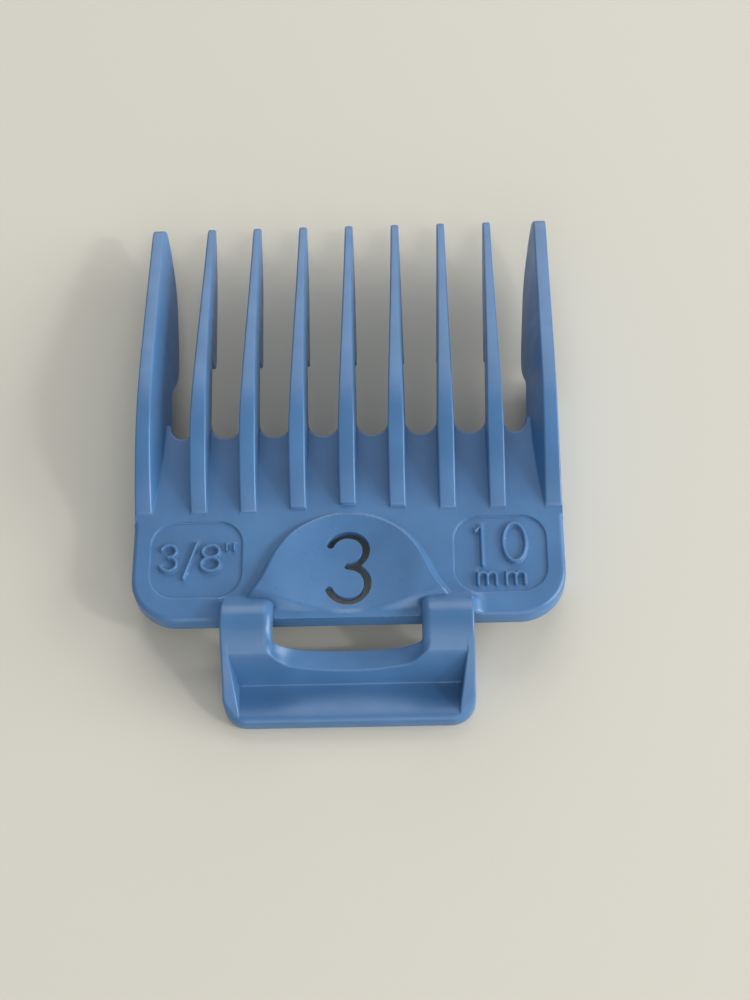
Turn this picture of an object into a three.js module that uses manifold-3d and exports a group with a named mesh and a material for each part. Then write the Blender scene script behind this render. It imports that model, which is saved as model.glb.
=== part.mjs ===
// Clipper guard comb: nine curved teeth on a plate that seats on a clipper blade, with a sprung
// clip behind it that hooks over the blade's heel.
// Units are millimetres. +X is right, +Y runs towards the tooth tips and +Z is up, away from the
// blade. While the pieces are drawn, y = 0 is the line where the teeth start and z = 0 is the
// surface that the guard lies on. The last lines centre the whole guard on the origin.

import * as THREE from "three";
import { mergeVertices } from "three/addons/utils/BufferGeometryUtils.js";
import Module from "manifold-3d";

const wasm = await Module();
wasm.setup();

// ---------------------------------------------------------------- driving dimensions

// The blade that the guard fits.
const bladeWidth = 46;
const bladeSideClearance = 0.2;
const bayHeight = 3.83;
const bayDepth = 19.6;

// Plate and the rails on either side of the blade.
const railThickness = 1.67;
const plateThickness = 2.32;
const plateFront = 12;
const plateRear = 13.5;
const plateCornerRadius = 5.5;
const scallopDepth = 1.85;
const scallopOverlap = 0.45;
const railLeadIn = 3.4;
const railFrontSetback = 0.4;

// Teeth.
const toothCount = 7;
const toothReach = 41.4;
const crestPosition = 13;
const crestRise = 4.5;
const rootRise = 0.34;
const rootSlope = 0.5;
const tipRise = 0.45;
const tipUnderside = 3.4;
const noseLength = 2.4;
const noseRound = 0.9;
const noseMiddle = 1.6;
const hookLength = 1.6;
const hookHeight = 2.7;
const hookRound = 0.6;
const hookSlope = 0.4;
const rootWidth = 1.9;
const tipWidth = 0.8;
const taperLead = 3;
const taperPower = 1.6;
const toothDraft = 0.035;
const centreToothSetback = 0.8;
const setbackStep = 0.4;
const sideToothWidth = 1.97;
const sideToothTaper = 0.011;
const sideToothDraft = 0.3;
const outerDraft = 0.04;

// Dished pad with the guard's number cut through it.
const bossHeight = 0.85;
const bossHalfWidth = 9.6;
const bossFront = 0.2;
const bossShoulder = 12.7;
const bossFlank = 5.9;
const shoulderFlare = 1.9;
const dishDepth = 0.7;
const dishWall = 0.35;
const numberMargin = 1.65;
const numberWidth = 5.4;
const numberHeight = 9.2;
const numberStroke = 0.85;

// Size badges let into the plate.
const badgeEdgeMargin = 2.07;
const badgeInset = 2.55;
const badgeFront = 1.0;
const badgeLength = 9.7;
const badgeThickness = 0.5;
const badgeCornerRadius = 3;
const letterHeight = 0.25;
const letterStroke = 0.45;

// Sprung clip behind the plate.
const armInner = 8.4;
const armWidth = 5.85;
const armRise = 2.25;
const strapThickness = 1.8;
const rootFoot = 1.6;
const rootLean = 0.64;
const rootRound = 0.3;
const slotWidth = 2.9;
const crestOverhang = 4.4;
const crestDrop = 2.25;
const barHeight = 3.3;
const wallFootSetback = 5.92;
const trayHeight = 0.92;
const trayLength = 3.5;
const lipHeight = 2.0;
const lipLength = 1.5;
const lipRound = 0.6;
const lipUndercut = 0.3;
const rimThickness = 1.3;
const rimSlopeRun = 3.1;
const rimSlopeRise = 1.2;
const tabCornerRadius = 2.8;
const catchReach = 0.8;
const catchHeight = 1.5;
const catchMargin = 0.5;

// Clearances.
const pieceGap = 0.3;
const hingeGap = 0.3;

// How full the curves are: the reach of each curve's handles, as a share of what it spans.
const riseClimb = 0.58;
const riseRun = 1.5;
const crestRun = 0.65;
const fallLead = 0.21;
const fallApproach = 0.42;
const crownFullness = 0.55;
const archFullness = 0.7;

// ---------------------------------------------------------------- sizes that follow

const railInner = bladeWidth / 2 + bladeSideClearance;
const halfWidth = railInner + railThickness;
const toothPitch = (2 * railInner) / (toothCount + 1);
const lastToothX = (toothPitch * (toothCount - 1)) / 2;
const plateTop = bayHeight + plateThickness;
const crestTop = plateTop + crestRise;
const tipTop = plateTop + tipRise;
const sideToothInner = halfWidth - sideToothWidth;

const armOuter = armInner + armWidth;
const armTop = plateTop + armRise;
const barFrontY = -(plateRear + slotWidth);
const crestY = -(plateRear + crestOverhang);
const crestZ = armTop - crestDrop;
const wallFootY = -(plateRear + wallFootSetback);
const trayEndY = wallFootY - trayLength;
const tabEndY = trayEndY - lipLength;

// Height of a point on the wall's sloping back face gives its place along Y.
const wallY = (z) => wallFootY + ((crestY - wallFootY) * (z - trayHeight)) / (crestZ - trayHeight);

// ---------------------------------------------------------------- shape helpers

const v2 = (x, y) => new THREE.Vector2(x, y);

function solidOf(geometry) {
  const bare = geometry.clone();
  bare.deleteAttribute("normal");
  bare.deleteAttribute("uv");
  const merged = mergeVertices(bare, 1e-4);
  const vertProperties = new Float32Array(merged.attributes.position.array);
  const triVerts = new Uint32Array(merged.index.array);
  return new wasm.Manifold(new wasm.Mesh({ numProp: 3, vertProperties, triVerts }));
}

function geometryOf(solid) {
  const mesh = solid.getMesh();
  const geometry = new THREE.BufferGeometry();
  geometry.setAttribute("position", new THREE.BufferAttribute(mesh.vertProperties, 3));
  geometry.setIndex(new THREE.BufferAttribute(mesh.triVerts, 1));
  geometry.computeVertexNormals();
  return geometry;
}

// A plan outline, in X and Y, raised from one height to another.
function raise(shape, bottom, top, curveSegments = 8) {
  const settings = { depth: top - bottom, bevelEnabled: false, curveSegments };
  return new THREE.ExtrudeGeometry(shape, settings).translate(0, 0, bottom);
}

// A side outline, in Y and Z, drawn out along X.
function drawAcross(points, left, right) {
  const settings = { depth: right - left, bevelEnabled: false };
  const geometry = new THREE.ExtrudeGeometry(new THREE.Shape(points), settings);
  const turn = new THREE.Matrix4().set(0, 0, 1, left, 1, 0, 0, 0, 0, 1, 0, 0, 0, 0, 0, 1);
  return geometry.applyMatrix4(turn);
}

function roundedRectangle(left, front, right, rear, radius) {
  const shape = new THREE.Shape();
  shape.moveTo(left + radius, rear);
  shape.absarc(right - radius, rear + radius, radius, -Math.PI / 2, 0, false);
  shape.absarc(right - radius, front - radius, radius, 0, Math.PI / 2, false);
  shape.absarc(left + radius, front - radius, radius, Math.PI / 2, Math.PI, false);
  shape.absarc(left + radius, rear + radius, radius, Math.PI, 1.5 * Math.PI, false);
  return shape;
}

// A line of constant width with round ends, along the given points.
function stroke(path, width) {
  const radius = width / 2;
  const capSteps = 4;
  const sides = [[], []];
  const directions = path.map((point, i) => {
    const before = path[Math.max(i - 1, 0)];
    const after = path[Math.min(i + 1, path.length - 1)];
    return after.clone().sub(before).normalize();
  });
  path.forEach((point, i) => {
    const aside = v2(-directions[i].y, directions[i].x).multiplyScalar(radius);
    sides[0].push(point.clone().sub(aside));
    sides[1].unshift(point.clone().add(aside));
  });
  const cap = (centre, direction) => {
    const middle = Math.atan2(direction.y, direction.x);
    const points = [];
    for (let i = 1; i < capSteps; i += 1) {
      const angle = middle - Math.PI / 2 + (Math.PI * i) / capSteps;
      points.push(v2(centre.x + radius * Math.cos(angle), centre.y + radius * Math.sin(angle)));
    }
    return points;
  };
  const last = path.length - 1;
  const endCap = cap(path[last], directions[last]);
  const startCap = cap(path[0], directions[0].clone().negate());
  return new THREE.Shape([...sides[0], ...endCap, ...sides[1], ...startCap]);
}

function bow(x, y, radiusX, radiusY, from, to, steps = 12) {
  const points = [];
  for (let i = 0; i <= steps; i += 1) {
    const angle = THREE.MathUtils.degToRad(from + ((to - from) * i) / steps);
    points.push(v2(x + radiusX * Math.cos(angle), y + radiusY * Math.sin(angle)));
  }
  return points;
}

function ring(x, y, radiusX, radiusY, width) {
  const outer = bow(x, y, radiusX + width / 2, radiusY + width / 2, 0, 345, 23);
  const inner = bow(x, y, radiusX - width / 2, radiusY - width / 2, 0, 345, 23);
  const shape = new THREE.Shape(outer);
  shape.holes.push(new THREE.Path(inner));
  return shape;
}

// ---------------------------------------------------------------- characters

// The upper bowl of a 3 or an 8 is smaller than the lower one: its radius as a share of the height,
// and its width as a share of the lower bowl's.
const upperBowlHeight = 0.235;
const upperBowlWidth = 0.93;
const flagDrop = 0.6;

// Each one fills a box: x and y are its left rear corner. It is a list of overlapping strokes.
const characters = {
  three(x, y, width, height, line) {
    const middleX = x + width / 2;
    const upper = (height - line) * upperBowlHeight;
    const lower = (height - line) / 2 - upper;
    const upperY = y + height - line / 2 - upper;
    const lowerY = y + line / 2 + lower;
    const reach = (width - line) / 2;
    return [
      stroke(bow(middleX, upperY, reach * upperBowlWidth, upper, 160, -90), line),
      stroke(bow(middleX, lowerY, reach, lower, 90, -160), line),
    ];
  },
  eight(x, y, width, height, line) {
    const middleX = x + width / 2;
    const upper = (height - line) * upperBowlHeight;
    const lower = (height - line) / 2 - upper;
    const reach = (width - line) / 2;
    return [
      ring(middleX, y + height - line / 2 - upper, reach * upperBowlWidth, upper, line),
      ring(middleX, y + line / 2 + lower, reach, lower, line),
    ];
  },
  zero(x, y, width, height, line) {
    const radiusX = (width - line) / 2;
    const radiusY = (height - line) / 2;
    return [ring(x + width / 2, y + height / 2, radiusX, radiusY, line)];
  },
  one(x, y, width, height, line) {
    const stem = x + width - line / 2;
    const head = y + height - line / 2;
    const flag = v2(x + line / 2, head - width * flagDrop);
    return [stroke([v2(stem, y), v2(stem, head)], line), stroke([flag, v2(stem, head)], line)];
  },
  slash(x, y, width, height, line) {
    return [stroke([v2(x, y), v2(x + width, y + height)], line)];
  },
  inch(x, y, width, height, line) {
    return [0, width].map((aside) => stroke([v2(x + aside, y), v2(x + aside, y + height)], line));
  },
  m(x, y, width, height, line) {
    const arch = (width - line) / 4;
    const spring = y + height - line / 2 - arch;
    const left = x + line / 2;
    const legs = [0, 2, 4].map((step) => left + arch * step);
    const stems = legs.map((leg) => stroke([v2(leg, y), v2(leg, spring)], line));
    const stub = stroke([v2(left, spring), v2(left, y + height - line / 2)], line);
    const arches = [1, 3].map((step) => {
      return stroke(bow(left + arch * step, spring, arch, arch, 180, 0), line);
    });
    return [...stems, stub, ...arches];
  },
};

function join(solids) {
  return solids.reduce((whole, next) => whole.add(next));
}

function lettering(strokes, bottom, top) {
  return join(strokes.map((shape) => solidOf(raise(shape, bottom, top))));
}

// ---------------------------------------------------------------- scene graph

const guard = new THREE.Group();
const guardBlue = new THREE.Color().setRGB(0.39, 0.58, 0.81, THREE.SRGBColorSpace);
const semiGloss = { color: guardBlue, roughness: 0.42, metalness: 0 };

function addPiece(name, geometry) {
  const piece = new THREE.Mesh(geometry, new THREE.MeshStandardMaterial(semiGloss));
  piece.name = name;
  guard.add(piece);
  return piece;
}

// ---------------------------------------------------------------- the number and the dished pad

const numberRearY = -(plateRear - numberMargin);
const numberStrokes = characters.three(
  -numberWidth / 2, numberRearY, numberWidth, numberHeight, numberStroke,
);
const numberCutter = lettering(numberStrokes, 0, armTop);

// The pad's arch, its flared shoulders, and the narrower tongue that runs back between the arms.
function bossOutline() {
  const tongue = armInner - pieceGap;
  const rear = -(plateRear - pieceGap);
  const shoulderRear = -(plateRear - rootFoot - pieceGap);
  const flankY = -(plateRear - bossFlank);
  const flareX = bossShoulder - shoulderFlare;
  const flareY = shoulderRear + shoulderFlare / 2;
  const archX = bossHalfWidth - shoulderFlare * archFullness;
  const archY = (flankY - bossFront) / 2;
  const crownX = bossHalfWidth * crownFullness;
  const outline = new THREE.Shape();
  outline.moveTo(-tongue, rear);
  outline.lineTo(tongue, rear);
  outline.lineTo(tongue, shoulderRear);
  outline.lineTo(bossShoulder, shoulderRear);
  outline.quadraticCurveTo(flareX, flareY, bossHalfWidth, flankY);
  outline.bezierCurveTo(archX, archY, crownX, -bossFront, 0, -bossFront);
  outline.bezierCurveTo(-crownX, -bossFront, -archX, archY, -bossHalfWidth, flankY);
  outline.quadraticCurveTo(-flareX, flareY, -bossShoulder, shoulderRear);
  outline.lineTo(-tongue, shoulderRear);
  return outline;
}

// A shallow bowl, turned and then stretched to the pad's length. It runs on past the pad's edge.
function dishCutter() {
  const rimRadius = bossHalfWidth - dishWall;
  const reach = rimRadius + 2 * dishWall;
  const rings = 6;
  const profile = [];
  for (let i = 0; i <= rings; i += 1) {
    const radius = (reach * i) / rings;
    profile.push(v2(radius, dishDepth * ((radius / rimRadius) ** 2 - 1)));
  }
  profile.push(v2(reach, dishDepth * 2));
  profile.push(v2(0, dishDepth * 2));
  const halfLength = (plateRear - pieceGap - bossFront) / 2 - dishWall;
  const bowl = new THREE.LatheGeometry(profile, 36);
  bowl.rotateX(Math.PI / 2);
  bowl.scale(1, halfLength / rimRadius, 1);
  return bowl.translate(0, -bossFront - dishWall - halfLength, plateTop + bossHeight);
}

const bossBlank = solidOf(raise(bossOutline(), plateTop, plateTop + bossHeight, 10));
const bossSolid = bossBlank.subtract(solidOf(dishCutter())).subtract(numberCutter);
addPiece("number_boss", geometryOf(bossSolid));

// ---------------------------------------------------------------- size badges

const badgeInner = bossHalfWidth + badgeInset;
const badgeOuter = halfWidth - badgeEdgeMargin;
const badgeWidth = badgeOuter - badgeInner;
const badgeRear = -(badgeFront + badgeLength);
const badgeSeat = plateTop - badgeThickness;

function badgeBlank(side, grow, bottom, top) {
  const left = (side < 0 ? -badgeOuter : badgeInner) - grow;
  const right = left + badgeWidth + 2 * grow;
  const radius = badgeCornerRadius + grow;
  const shape = roundedRectangle(left, -badgeFront + grow, right, badgeRear - grow, radius);
  return solidOf(raise(shape, bottom, top));
}

// Characters are laid out as shares of the badge, from its left rear corner.
function badge(side, layout) {
  const left = side < 0 ? -badgeOuter : badgeInner;
  const strokes = layout.flatMap(([letter, x, y, width, height]) => {
    const corner = [left + x * badgeWidth, badgeRear + y * badgeLength];
    return characters[letter](...corner, width * badgeWidth, height * badgeLength, letterStroke);
  });
  const letters = lettering(strokes, badgeSeat + badgeThickness / 2, plateTop + letterHeight);
  return badgeBlank(side, 0, badgeSeat, plateTop).add(letters);
}

const inchLayout = [
  ["three", 0.09, 0.33, 0.22, 0.38],
  ["slash", 0.37, 0.26, 0.135, 0.455],
  ["eight", 0.535, 0.32, 0.245, 0.38],
  ["inch", 0.82, 0.59, 0.1, 0.115],
];
const metricLayout = [
  ["one", 0.22, 0.355, 0.11, 0.535],
  ["zero", 0.515, 0.365, 0.285, 0.545],
  ["m", 0.235, 0.08, 0.235, 0.19],
  ["m", 0.535, 0.08, 0.24, 0.19],
];
addPiece("left_size_badge", geometryOf(badge(-1, inchLayout)));
addPiece("right_size_badge", geometryOf(badge(1, metricLayout)));

// ---------------------------------------------------------------- plate

// Square front corners, round rear corners, and a scallop in the front edge of each gap.
function plateOutline() {
  const gapHalf = (toothPitch - rootWidth) / 2 + scallopOverlap;
  const radius = (gapHalf ** 2 + scallopDepth ** 2) / (2 * scallopDepth);
  const sweep = Math.asin(Math.min(gapHalf / radius, 1));
  const centreY = plateFront - scallopDepth + radius;
  const sideGapX = (lastToothX + sideToothInner) / 2;
  const gaps = [-sideGapX];
  for (let i = 0; i < toothCount - 1; i += 1) {
    gaps.push(-lastToothX + toothPitch * (i + 0.5));
  }
  gaps.push(sideGapX);

  const cornerX = halfWidth - plateCornerRadius;
  const cornerY = -plateRear + plateCornerRadius;
  const outline = new THREE.Shape();
  outline.moveTo(-halfWidth, plateFront);
  outline.lineTo(-halfWidth, cornerY);
  outline.absarc(-cornerX, cornerY, plateCornerRadius, Math.PI, 1.5 * Math.PI, false);
  outline.absarc(cornerX, cornerY, plateCornerRadius, 1.5 * Math.PI, 2 * Math.PI, false);
  outline.lineTo(halfWidth, plateFront);
  for (const gapX of gaps.reverse()) {
    outline.absarc(gapX, centreY, radius, -Math.PI / 2 + sweep, -Math.PI / 2 - sweep, true);
  }
  return outline;
}

let plate = solidOf(raise(plateOutline(), bayHeight, plateTop, 10)).subtract(numberCutter);
for (const side of [-1, 1]) {
  plate = plate.subtract(badgeBlank(side, pieceGap, badgeSeat, plateTop + badgeThickness));
}
addPiece("base_plate", geometryOf(plate));

// ---------------------------------------------------------------- teeth

// Side outline of a tooth that starts at rootY: over the crest, down to the round tip, back along
// the hook that hides the blade's edge, and along the top of the blade bay.
function toothOutline(rootY) {
  const rootZ = plateTop + rootRise + rootY * rootSlope;
  const climb = (crestTop - rootZ) * riseClimb;
  const noseY = toothReach - noseLength;
  const noseZ = tipTop - noseMiddle;
  const roundY = toothReach - noseRound;
  const underY = noseY + noseRound / 4;
  const fallLength = noseY - crestPosition;
  const fallHeight = crestTop - tipTop;
  const hookY = bayDepth + hookLength;
  const crest = v2(crestPosition, crestTop);
  const shoulder = v2(noseY, tipTop);
  const nose = v2(toothReach, noseZ);
  const rise = new THREE.CubicBezierCurve(
    v2(rootY, rootZ),
    v2(rootY + climb * riseRun, rootZ + climb),
    v2(crestPosition * crestRun, crestTop),
    crest,
  );
  const fall = new THREE.CubicBezierCurve(
    crest,
    v2(crestPosition + fallLength * fallLead, crestTop),
    v2(noseY - fallLength * fallApproach, tipTop + fallHeight / 2),
    shoulder,
  );
  const noseTop = new THREE.CubicBezierCurve(
    shoulder,
    v2(roundY, tipTop - noseRound / 3),
    v2(toothReach, noseZ + noseRound),
    nose,
  );
  const noseUnder = new THREE.CubicBezierCurve(
    nose,
    v2(toothReach, tipUnderside + noseRound / 2),
    v2(roundY, tipUnderside),
    v2(underY, tipUnderside),
  );
  const hook = new THREE.QuadraticBezierCurve(
    v2(hookY, hookHeight),
    v2(bayDepth + hookRound, hookHeight),
    v2(bayDepth + hookSlope, hookHeight + hookRound * 1.5),
  );
  return [
    ...rise.getPoints(8),
    ...fall.getPoints(10).slice(1),
    ...noseTop.getPoints(4).slice(1),
    ...noseUnder.getPoints(4).slice(1),
    ...hook.getPoints(3),
    v2(bayDepth, plateTop),
    v2(rootY, plateTop),
  ];
}

// Height of the top line at a place along the tooth.
function topLine(outline, y) {
  for (let i = 1; i < outline.length; i += 1) {
    const [before, after] = [outline[i - 1], outline[i]];
    if (y <= after.x) {
      const share = (y - before.x) / Math.max(after.x - before.x, 1e-6);
      return before.y + (after.y - before.y) * THREE.MathUtils.clamp(share, 0, 1);
    }
  }
  return tipTop;
}

// The outline is drawn out one unit to each side, and each side is then moved to its own place.
function shapedTooth(outline, placeSide) {
  const geometry = drawAcross(outline, -1, 1);
  const corner = geometry.attributes.position;
  for (let i = 0; i < corner.count; i += 1) {
    corner.setX(i, placeSide(Math.sign(corner.getX(i)), corner.getY(i), corner.getZ(i)));
  }
  geometry.computeVertexNormals();
  return geometry;
}

// Width along the top edge: full over the plate, then narrowing towards the tip.
function topWidth(y) {
  const taperStart = crestPosition - taperLead;
  const share = THREE.MathUtils.clamp((y - taperStart) / (toothReach - taperStart), 0, 1);
  return rootWidth + (tipWidth - rootWidth) * (1 - (1 - share) ** taperPower);
}

for (let i = 0; i < toothCount; i += 1) {
  const fromCentre = Math.abs(i - (toothCount - 1) / 2);
  const outline = toothOutline(Math.max(0, centreToothSetback - setbackStep * fromCentre));
  const geometry = shapedTooth(outline, (side, y, z) => {
    const below = Math.max(0, topLine(outline, y) - z);
    return side * (topWidth(y) / 2 + below * toothDraft);
  });
  const tooth = addPiece(`tooth_${i + 1}`, geometry);
  tooth.position.x = -lastToothX + i * toothPitch;
}

for (const [name, hand] of [["left_side_tooth", -1], ["right_side_tooth", 1]]) {
  const outline = toothOutline(0);
  const geometry = shapedTooth(outline, (side, y, z) => {
    const below = Math.max(0, topLine(outline, y) - z);
    const outer = halfWidth - outerDraft * Math.max(0, z - plateTop);
    const inner = sideToothInner + sideToothTaper * y - sideToothDraft * below;
    return side === hand ? hand * outer : hand * inner;
  });
  addPiece(name, geometry);
}

// ---------------------------------------------------------------- blade rails

// A rail stands under the plate and, past the plate's front, fills up to the side tooth.
const railFront = bayDepth - railFrontSetback;
const railOutline = [
  v2(-plateRear + plateCornerRadius, 0),
  v2(railFront - railLeadIn, 0),
  v2(railFront, railLeadIn),
  v2(railFront, plateTop),
  v2(plateFront + pieceGap, plateTop),
  v2(plateFront + pieceGap, bayHeight),
  v2(-plateRear + plateCornerRadius, bayHeight),
];
addPiece("left_blade_rail", drawAcross(railOutline, -halfWidth, -railInner));
addPiece("right_blade_rail", drawAcross(railOutline, railInner, halfWidth));

// ---------------------------------------------------------------- clip arms

// The fixed root stands on the plate's rear edge; its front face leans back.
const rootFrontY = -plateRear + rootFoot;
const rootTopY = rootFrontY - rootLean;
const armRootOutline = [
  v2(-plateRear, plateTop),
  v2(rootFrontY, plateTop),
  v2(rootTopY, armTop - rootRound),
  v2(rootTopY - rootRound, armTop),
  v2(-plateRear, armTop),
];

// The springing arm: a strap that arches back from the root, turned down into a leg at its end.
function armOutline() {
  const frontY = -(plateRear + hingeGap);
  const strapLength = frontY - crestY;
  const strapUnder = armTop - strapThickness;
  const over = new THREE.CubicBezierCurve(
    v2(frontY, armTop),
    v2(frontY - strapLength / 2, armTop),
    v2(crestY + strapLength / 4, crestZ + strapLength / 4),
    v2(crestY, crestZ),
  );
  const under = new THREE.CubicBezierCurve(
    v2(barFrontY, (barHeight + strapUnder) / 2),
    v2(barFrontY, strapUnder - rootRound),
    v2((frontY + barFrontY) / 2, strapUnder),
    v2(frontY, strapUnder),
  );
  return [
    ...over.getPoints(8),
    v2(wallY(barHeight), barHeight),
    v2(barFrontY, barHeight),
    ...under.getPoints(6),
  ];
}

const armSides = [
  ["left", -armOuter, -armInner],
  ["right", armInner, armOuter],
];
for (const [side, left, right] of armSides) {
  addPiece(`${side}_arm_root`, drawAcross(armRootOutline, left, right));
  addPiece(`${side}_clip_arm`, drawAcross(armOutline(), left, right));
}

// ---------------------------------------------------------------- catch bar and lip

const barOutline = [
  v2(wallFootY, 0),
  v2(barFrontY, 0),
  v2(barFrontY, barHeight),
  v2(wallY(barHeight), barHeight),
  v2(wallFootY, trayHeight),
];
addPiece("catch_bar", drawAcross(barOutline, -armOuter, armOuter));

const catchOutline = [
  v2(barFrontY, catchMargin / 2),
  v2(barFrontY + catchReach * 0.7, catchMargin),
  v2(barFrontY + catchReach, catchHeight * 0.75),
  v2(barFrontY + catchReach * 0.8, catchHeight),
  v2(barFrontY, catchHeight + catchMargin / 2),
];
addPiece("catch_lip", drawAcross(catchOutline, -armInner + catchMargin, armInner - catchMargin));

// ---------------------------------------------------------------- thumb tab

const rimInner = armOuter - rimThickness;

const trayOutline = [
  v2(trayEndY, 0),
  v2(wallFootY, 0),
  v2(wallFootY, trayHeight),
  v2(trayEndY, lipHeight),
];
addPiece("thumb_tray", drawAcross(trayOutline, -rimInner, rimInner));

// The tab's rear end: a rounded top edge and an undercut foot.
const endProfile = [
  v2(tabEndY + lipRound / 4, lipHeight - lipRound / 2),
  v2(tabEndY, lipHeight - lipRound * 1.4),
  v2(tabEndY + lipUndercut, 0),
];
const lipOutline = [
  v2(trayEndY, 0),
  v2(trayEndY, lipHeight),
  v2(tabEndY + lipRound, lipHeight),
  ...endProfile,
];
const cornerInner = armOuter - tabCornerRadius;
addPiece("tab_end_lip", drawAcross(lipOutline, -cornerInner, cornerInner));

// A rim is a gusset against the wall and the bar, whose rear end turns the tab's round corner.
function rimOutline() {
  const slope = new THREE.QuadraticBezierCurve(
    v2(crestY, crestZ),
    v2(crestY - rimSlopeRun, lipHeight + rimSlopeRise),
    v2(tabEndY + lipRound, lipHeight),
  );
  return [v2(wallFootY, trayHeight), ...slope.getPoints(8), ...endProfile, v2(wallFootY, 0)];
}

function rimPlan() {
  const plan = new THREE.Shape();
  plan.moveTo(rimInner, crestY);
  plan.lineTo(rimInner, trayEndY);
  plan.lineTo(cornerInner, trayEndY);
  plan.lineTo(cornerInner, tabEndY);
  plan.absarc(cornerInner, tabEndY + tabCornerRadius, tabCornerRadius, -Math.PI / 2, 0, false);
  plan.lineTo(armOuter, crestY);
  return plan;
}

const rimSide = solidOf(drawAcross(rimOutline().reverse(), rimInner - tabCornerRadius, armOuter));
const rimSolid = rimSide.intersect(solidOf(raise(rimPlan(), 0, armTop)));
addPiece("right_tab_rim", geometryOf(rimSolid));
addPiece("left_tab_rim", geometryOf(rimSolid.mirror([1, 0, 0])));

// ---------------------------------------------------------------- place the guard

// The origin is the middle of the surface that the guard lies on.
const placed = new THREE.Group();
guard.position.y = -(toothReach + tabEndY) / 2;
placed.add(guard);

export default placed;
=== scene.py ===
"""Clipper guard comb: its moulded surfaces, plastic and studio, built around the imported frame.

Shapes are worked out in millimetres, with y = 0 on the line where the teeth start. Blender gets
them in metres, in the frame's own axes: +X right, +Y towards the tooth tips, +Z up.
"""

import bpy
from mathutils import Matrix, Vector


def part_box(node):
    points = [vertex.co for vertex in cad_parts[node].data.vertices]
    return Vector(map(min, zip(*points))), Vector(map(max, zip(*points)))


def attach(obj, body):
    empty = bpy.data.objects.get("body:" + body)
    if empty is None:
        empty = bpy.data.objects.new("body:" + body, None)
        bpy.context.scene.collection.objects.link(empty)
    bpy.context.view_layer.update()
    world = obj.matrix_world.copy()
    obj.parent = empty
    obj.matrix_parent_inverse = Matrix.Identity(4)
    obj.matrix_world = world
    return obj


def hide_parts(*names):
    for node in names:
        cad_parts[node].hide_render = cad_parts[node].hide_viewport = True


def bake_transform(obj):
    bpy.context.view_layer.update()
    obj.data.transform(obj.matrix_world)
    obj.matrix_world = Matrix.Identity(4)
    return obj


bl_info = {
    "name": "Clipper guard comb",
    "version": (1, 0, 0),
    "blender": (4, 5, 0),
    "location": "3D View > Sidebar > Guard comb",
    "description": "Moulds the visible pieces of a clipper guard comb around its packed frame",
    "category": "Object",
}

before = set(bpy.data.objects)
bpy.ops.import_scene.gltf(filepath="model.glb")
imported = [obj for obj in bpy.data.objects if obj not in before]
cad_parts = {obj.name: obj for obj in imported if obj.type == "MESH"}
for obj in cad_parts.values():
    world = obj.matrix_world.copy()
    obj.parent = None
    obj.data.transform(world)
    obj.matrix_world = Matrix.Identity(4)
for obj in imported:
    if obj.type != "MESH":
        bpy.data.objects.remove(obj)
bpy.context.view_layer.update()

import math
from types import SimpleNamespace

import bpy
import numpy as np
from mathutils import Matrix, Vector
from mathutils.geometry import delaunay_2d_cdt
from mathutils.kdtree import KDTree

# ---- Sizes that the frame gives

METRE = 1000.0
SAME_SPOT = 1e-4
RIM_GAP = 0.006
ROW_GAP = 0.11
EDGE_GAP = 0.012
SHARP_ANGLE = math.radians(50)
SIDES = ((-1, "left"), (1, "right"))
ROOT_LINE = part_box("tooth_1")[0].y * METRE


def corners(node):
    """Lowest and highest corner of a CAD node in millimetres, with y = 0 at the tooth roots."""
    shift = np.array([0.0, ROOT_LINE, 0.0])
    low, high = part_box(node)
    return np.array(low) * METRE - shift, np.array(high) * METRE - shift


(_, PLATE_REAR, PLATE_SEAT), (HALF_WIDTH, PLATE_FRONT, PLATE_TOP) = corners("base_plate")
(_, _, HOOK_FOOT), (_, TOOTH_TIP, CREST_TOP) = corners("tooth_1")
(RAIL_INNER, RAIL_REAR, _), (_, RAIL_FRONT, _) = corners("right_blade_rail")
(ARM_INNER, _, _), (ARM_OUTER, _, ARM_TOP) = corners("right_clip_arm")
(_, WALL_FOOT, _), (_, BAR_FRONT, BAR_TOP) = corners("catch_bar")
(_, TAB_END, _), (_, CREST_Y, CREST_Z) = corners("right_tab_rim")
TAB_TOP = corners("thumb_tray")[1][2]
BADGES = {side: corners(f"{name}_size_badge") for side, name in SIDES}

# ---- Sizes and colours to change


def length(name, description, millimetres):
    """A length that shows in the sidebar, kept in metres."""
    return bpy.props.FloatProperty(
        name=name, description=description, default=millimetres / METRE,
        min=0.0, precision=5, unit="LENGTH", subtype="DISTANCE",
    )


def share(name, description, value):
    """A number from 0 to 1 that shows as a slider."""
    return bpy.props.FloatProperty(
        name=name, description=description, default=value, min=0.0, max=1.0, subtype="FACTOR",
    )


def tint(name, description, value):
    """A colour, in linear light."""
    return bpy.props.FloatVectorProperty(
        name=name, description=description, default=value,
        size=3, min=0.0, max=1.0, subtype="COLOR",
    )


class GUARD_PG_mould(bpy.types.PropertyGroup):
    """Sizes of the mould's details."""

    plate_edge: length("Plate edge", "Radius of the plate's outer top edge", 0.6)
    scallop_edge: length("Scallop edge", "Radius of the plate's edge between the teeth", 0.3)
    badge_edge: length("Badge edge", "Radius of the plate's edge round each badge", 0.12)
    tooth_edge: length("Tooth edge", "Radius along the top of each tooth", 0.22)
    root_fillet: length("Root fillet", "Fillet where a tooth meets the plate", 0.1)
    arm_inner_edge: length("Arm inner edge", "Radius of each arm's edge beside the slot", 1.05)
    arm_outer_edge: length("Arm outer edge", "Radius of each arm's outer edge", 0.3)
    arm_fillet: length("Arm fillet", "Fillet between each arm's outer side and the plate", 1.6)
    badge_drop: length("Badge drop", "How far the badges lie below the plate", 0.28)
    letter_rise: length("Letter rise", "How far the characters stand above the plate", 0.24)
    letter_width: length("Letter width", "Width of a character's stroke on the badges", 0.5)
    number_width: length("Number stroke", "Width of the stroke cut through the pad", 0.85)


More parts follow.
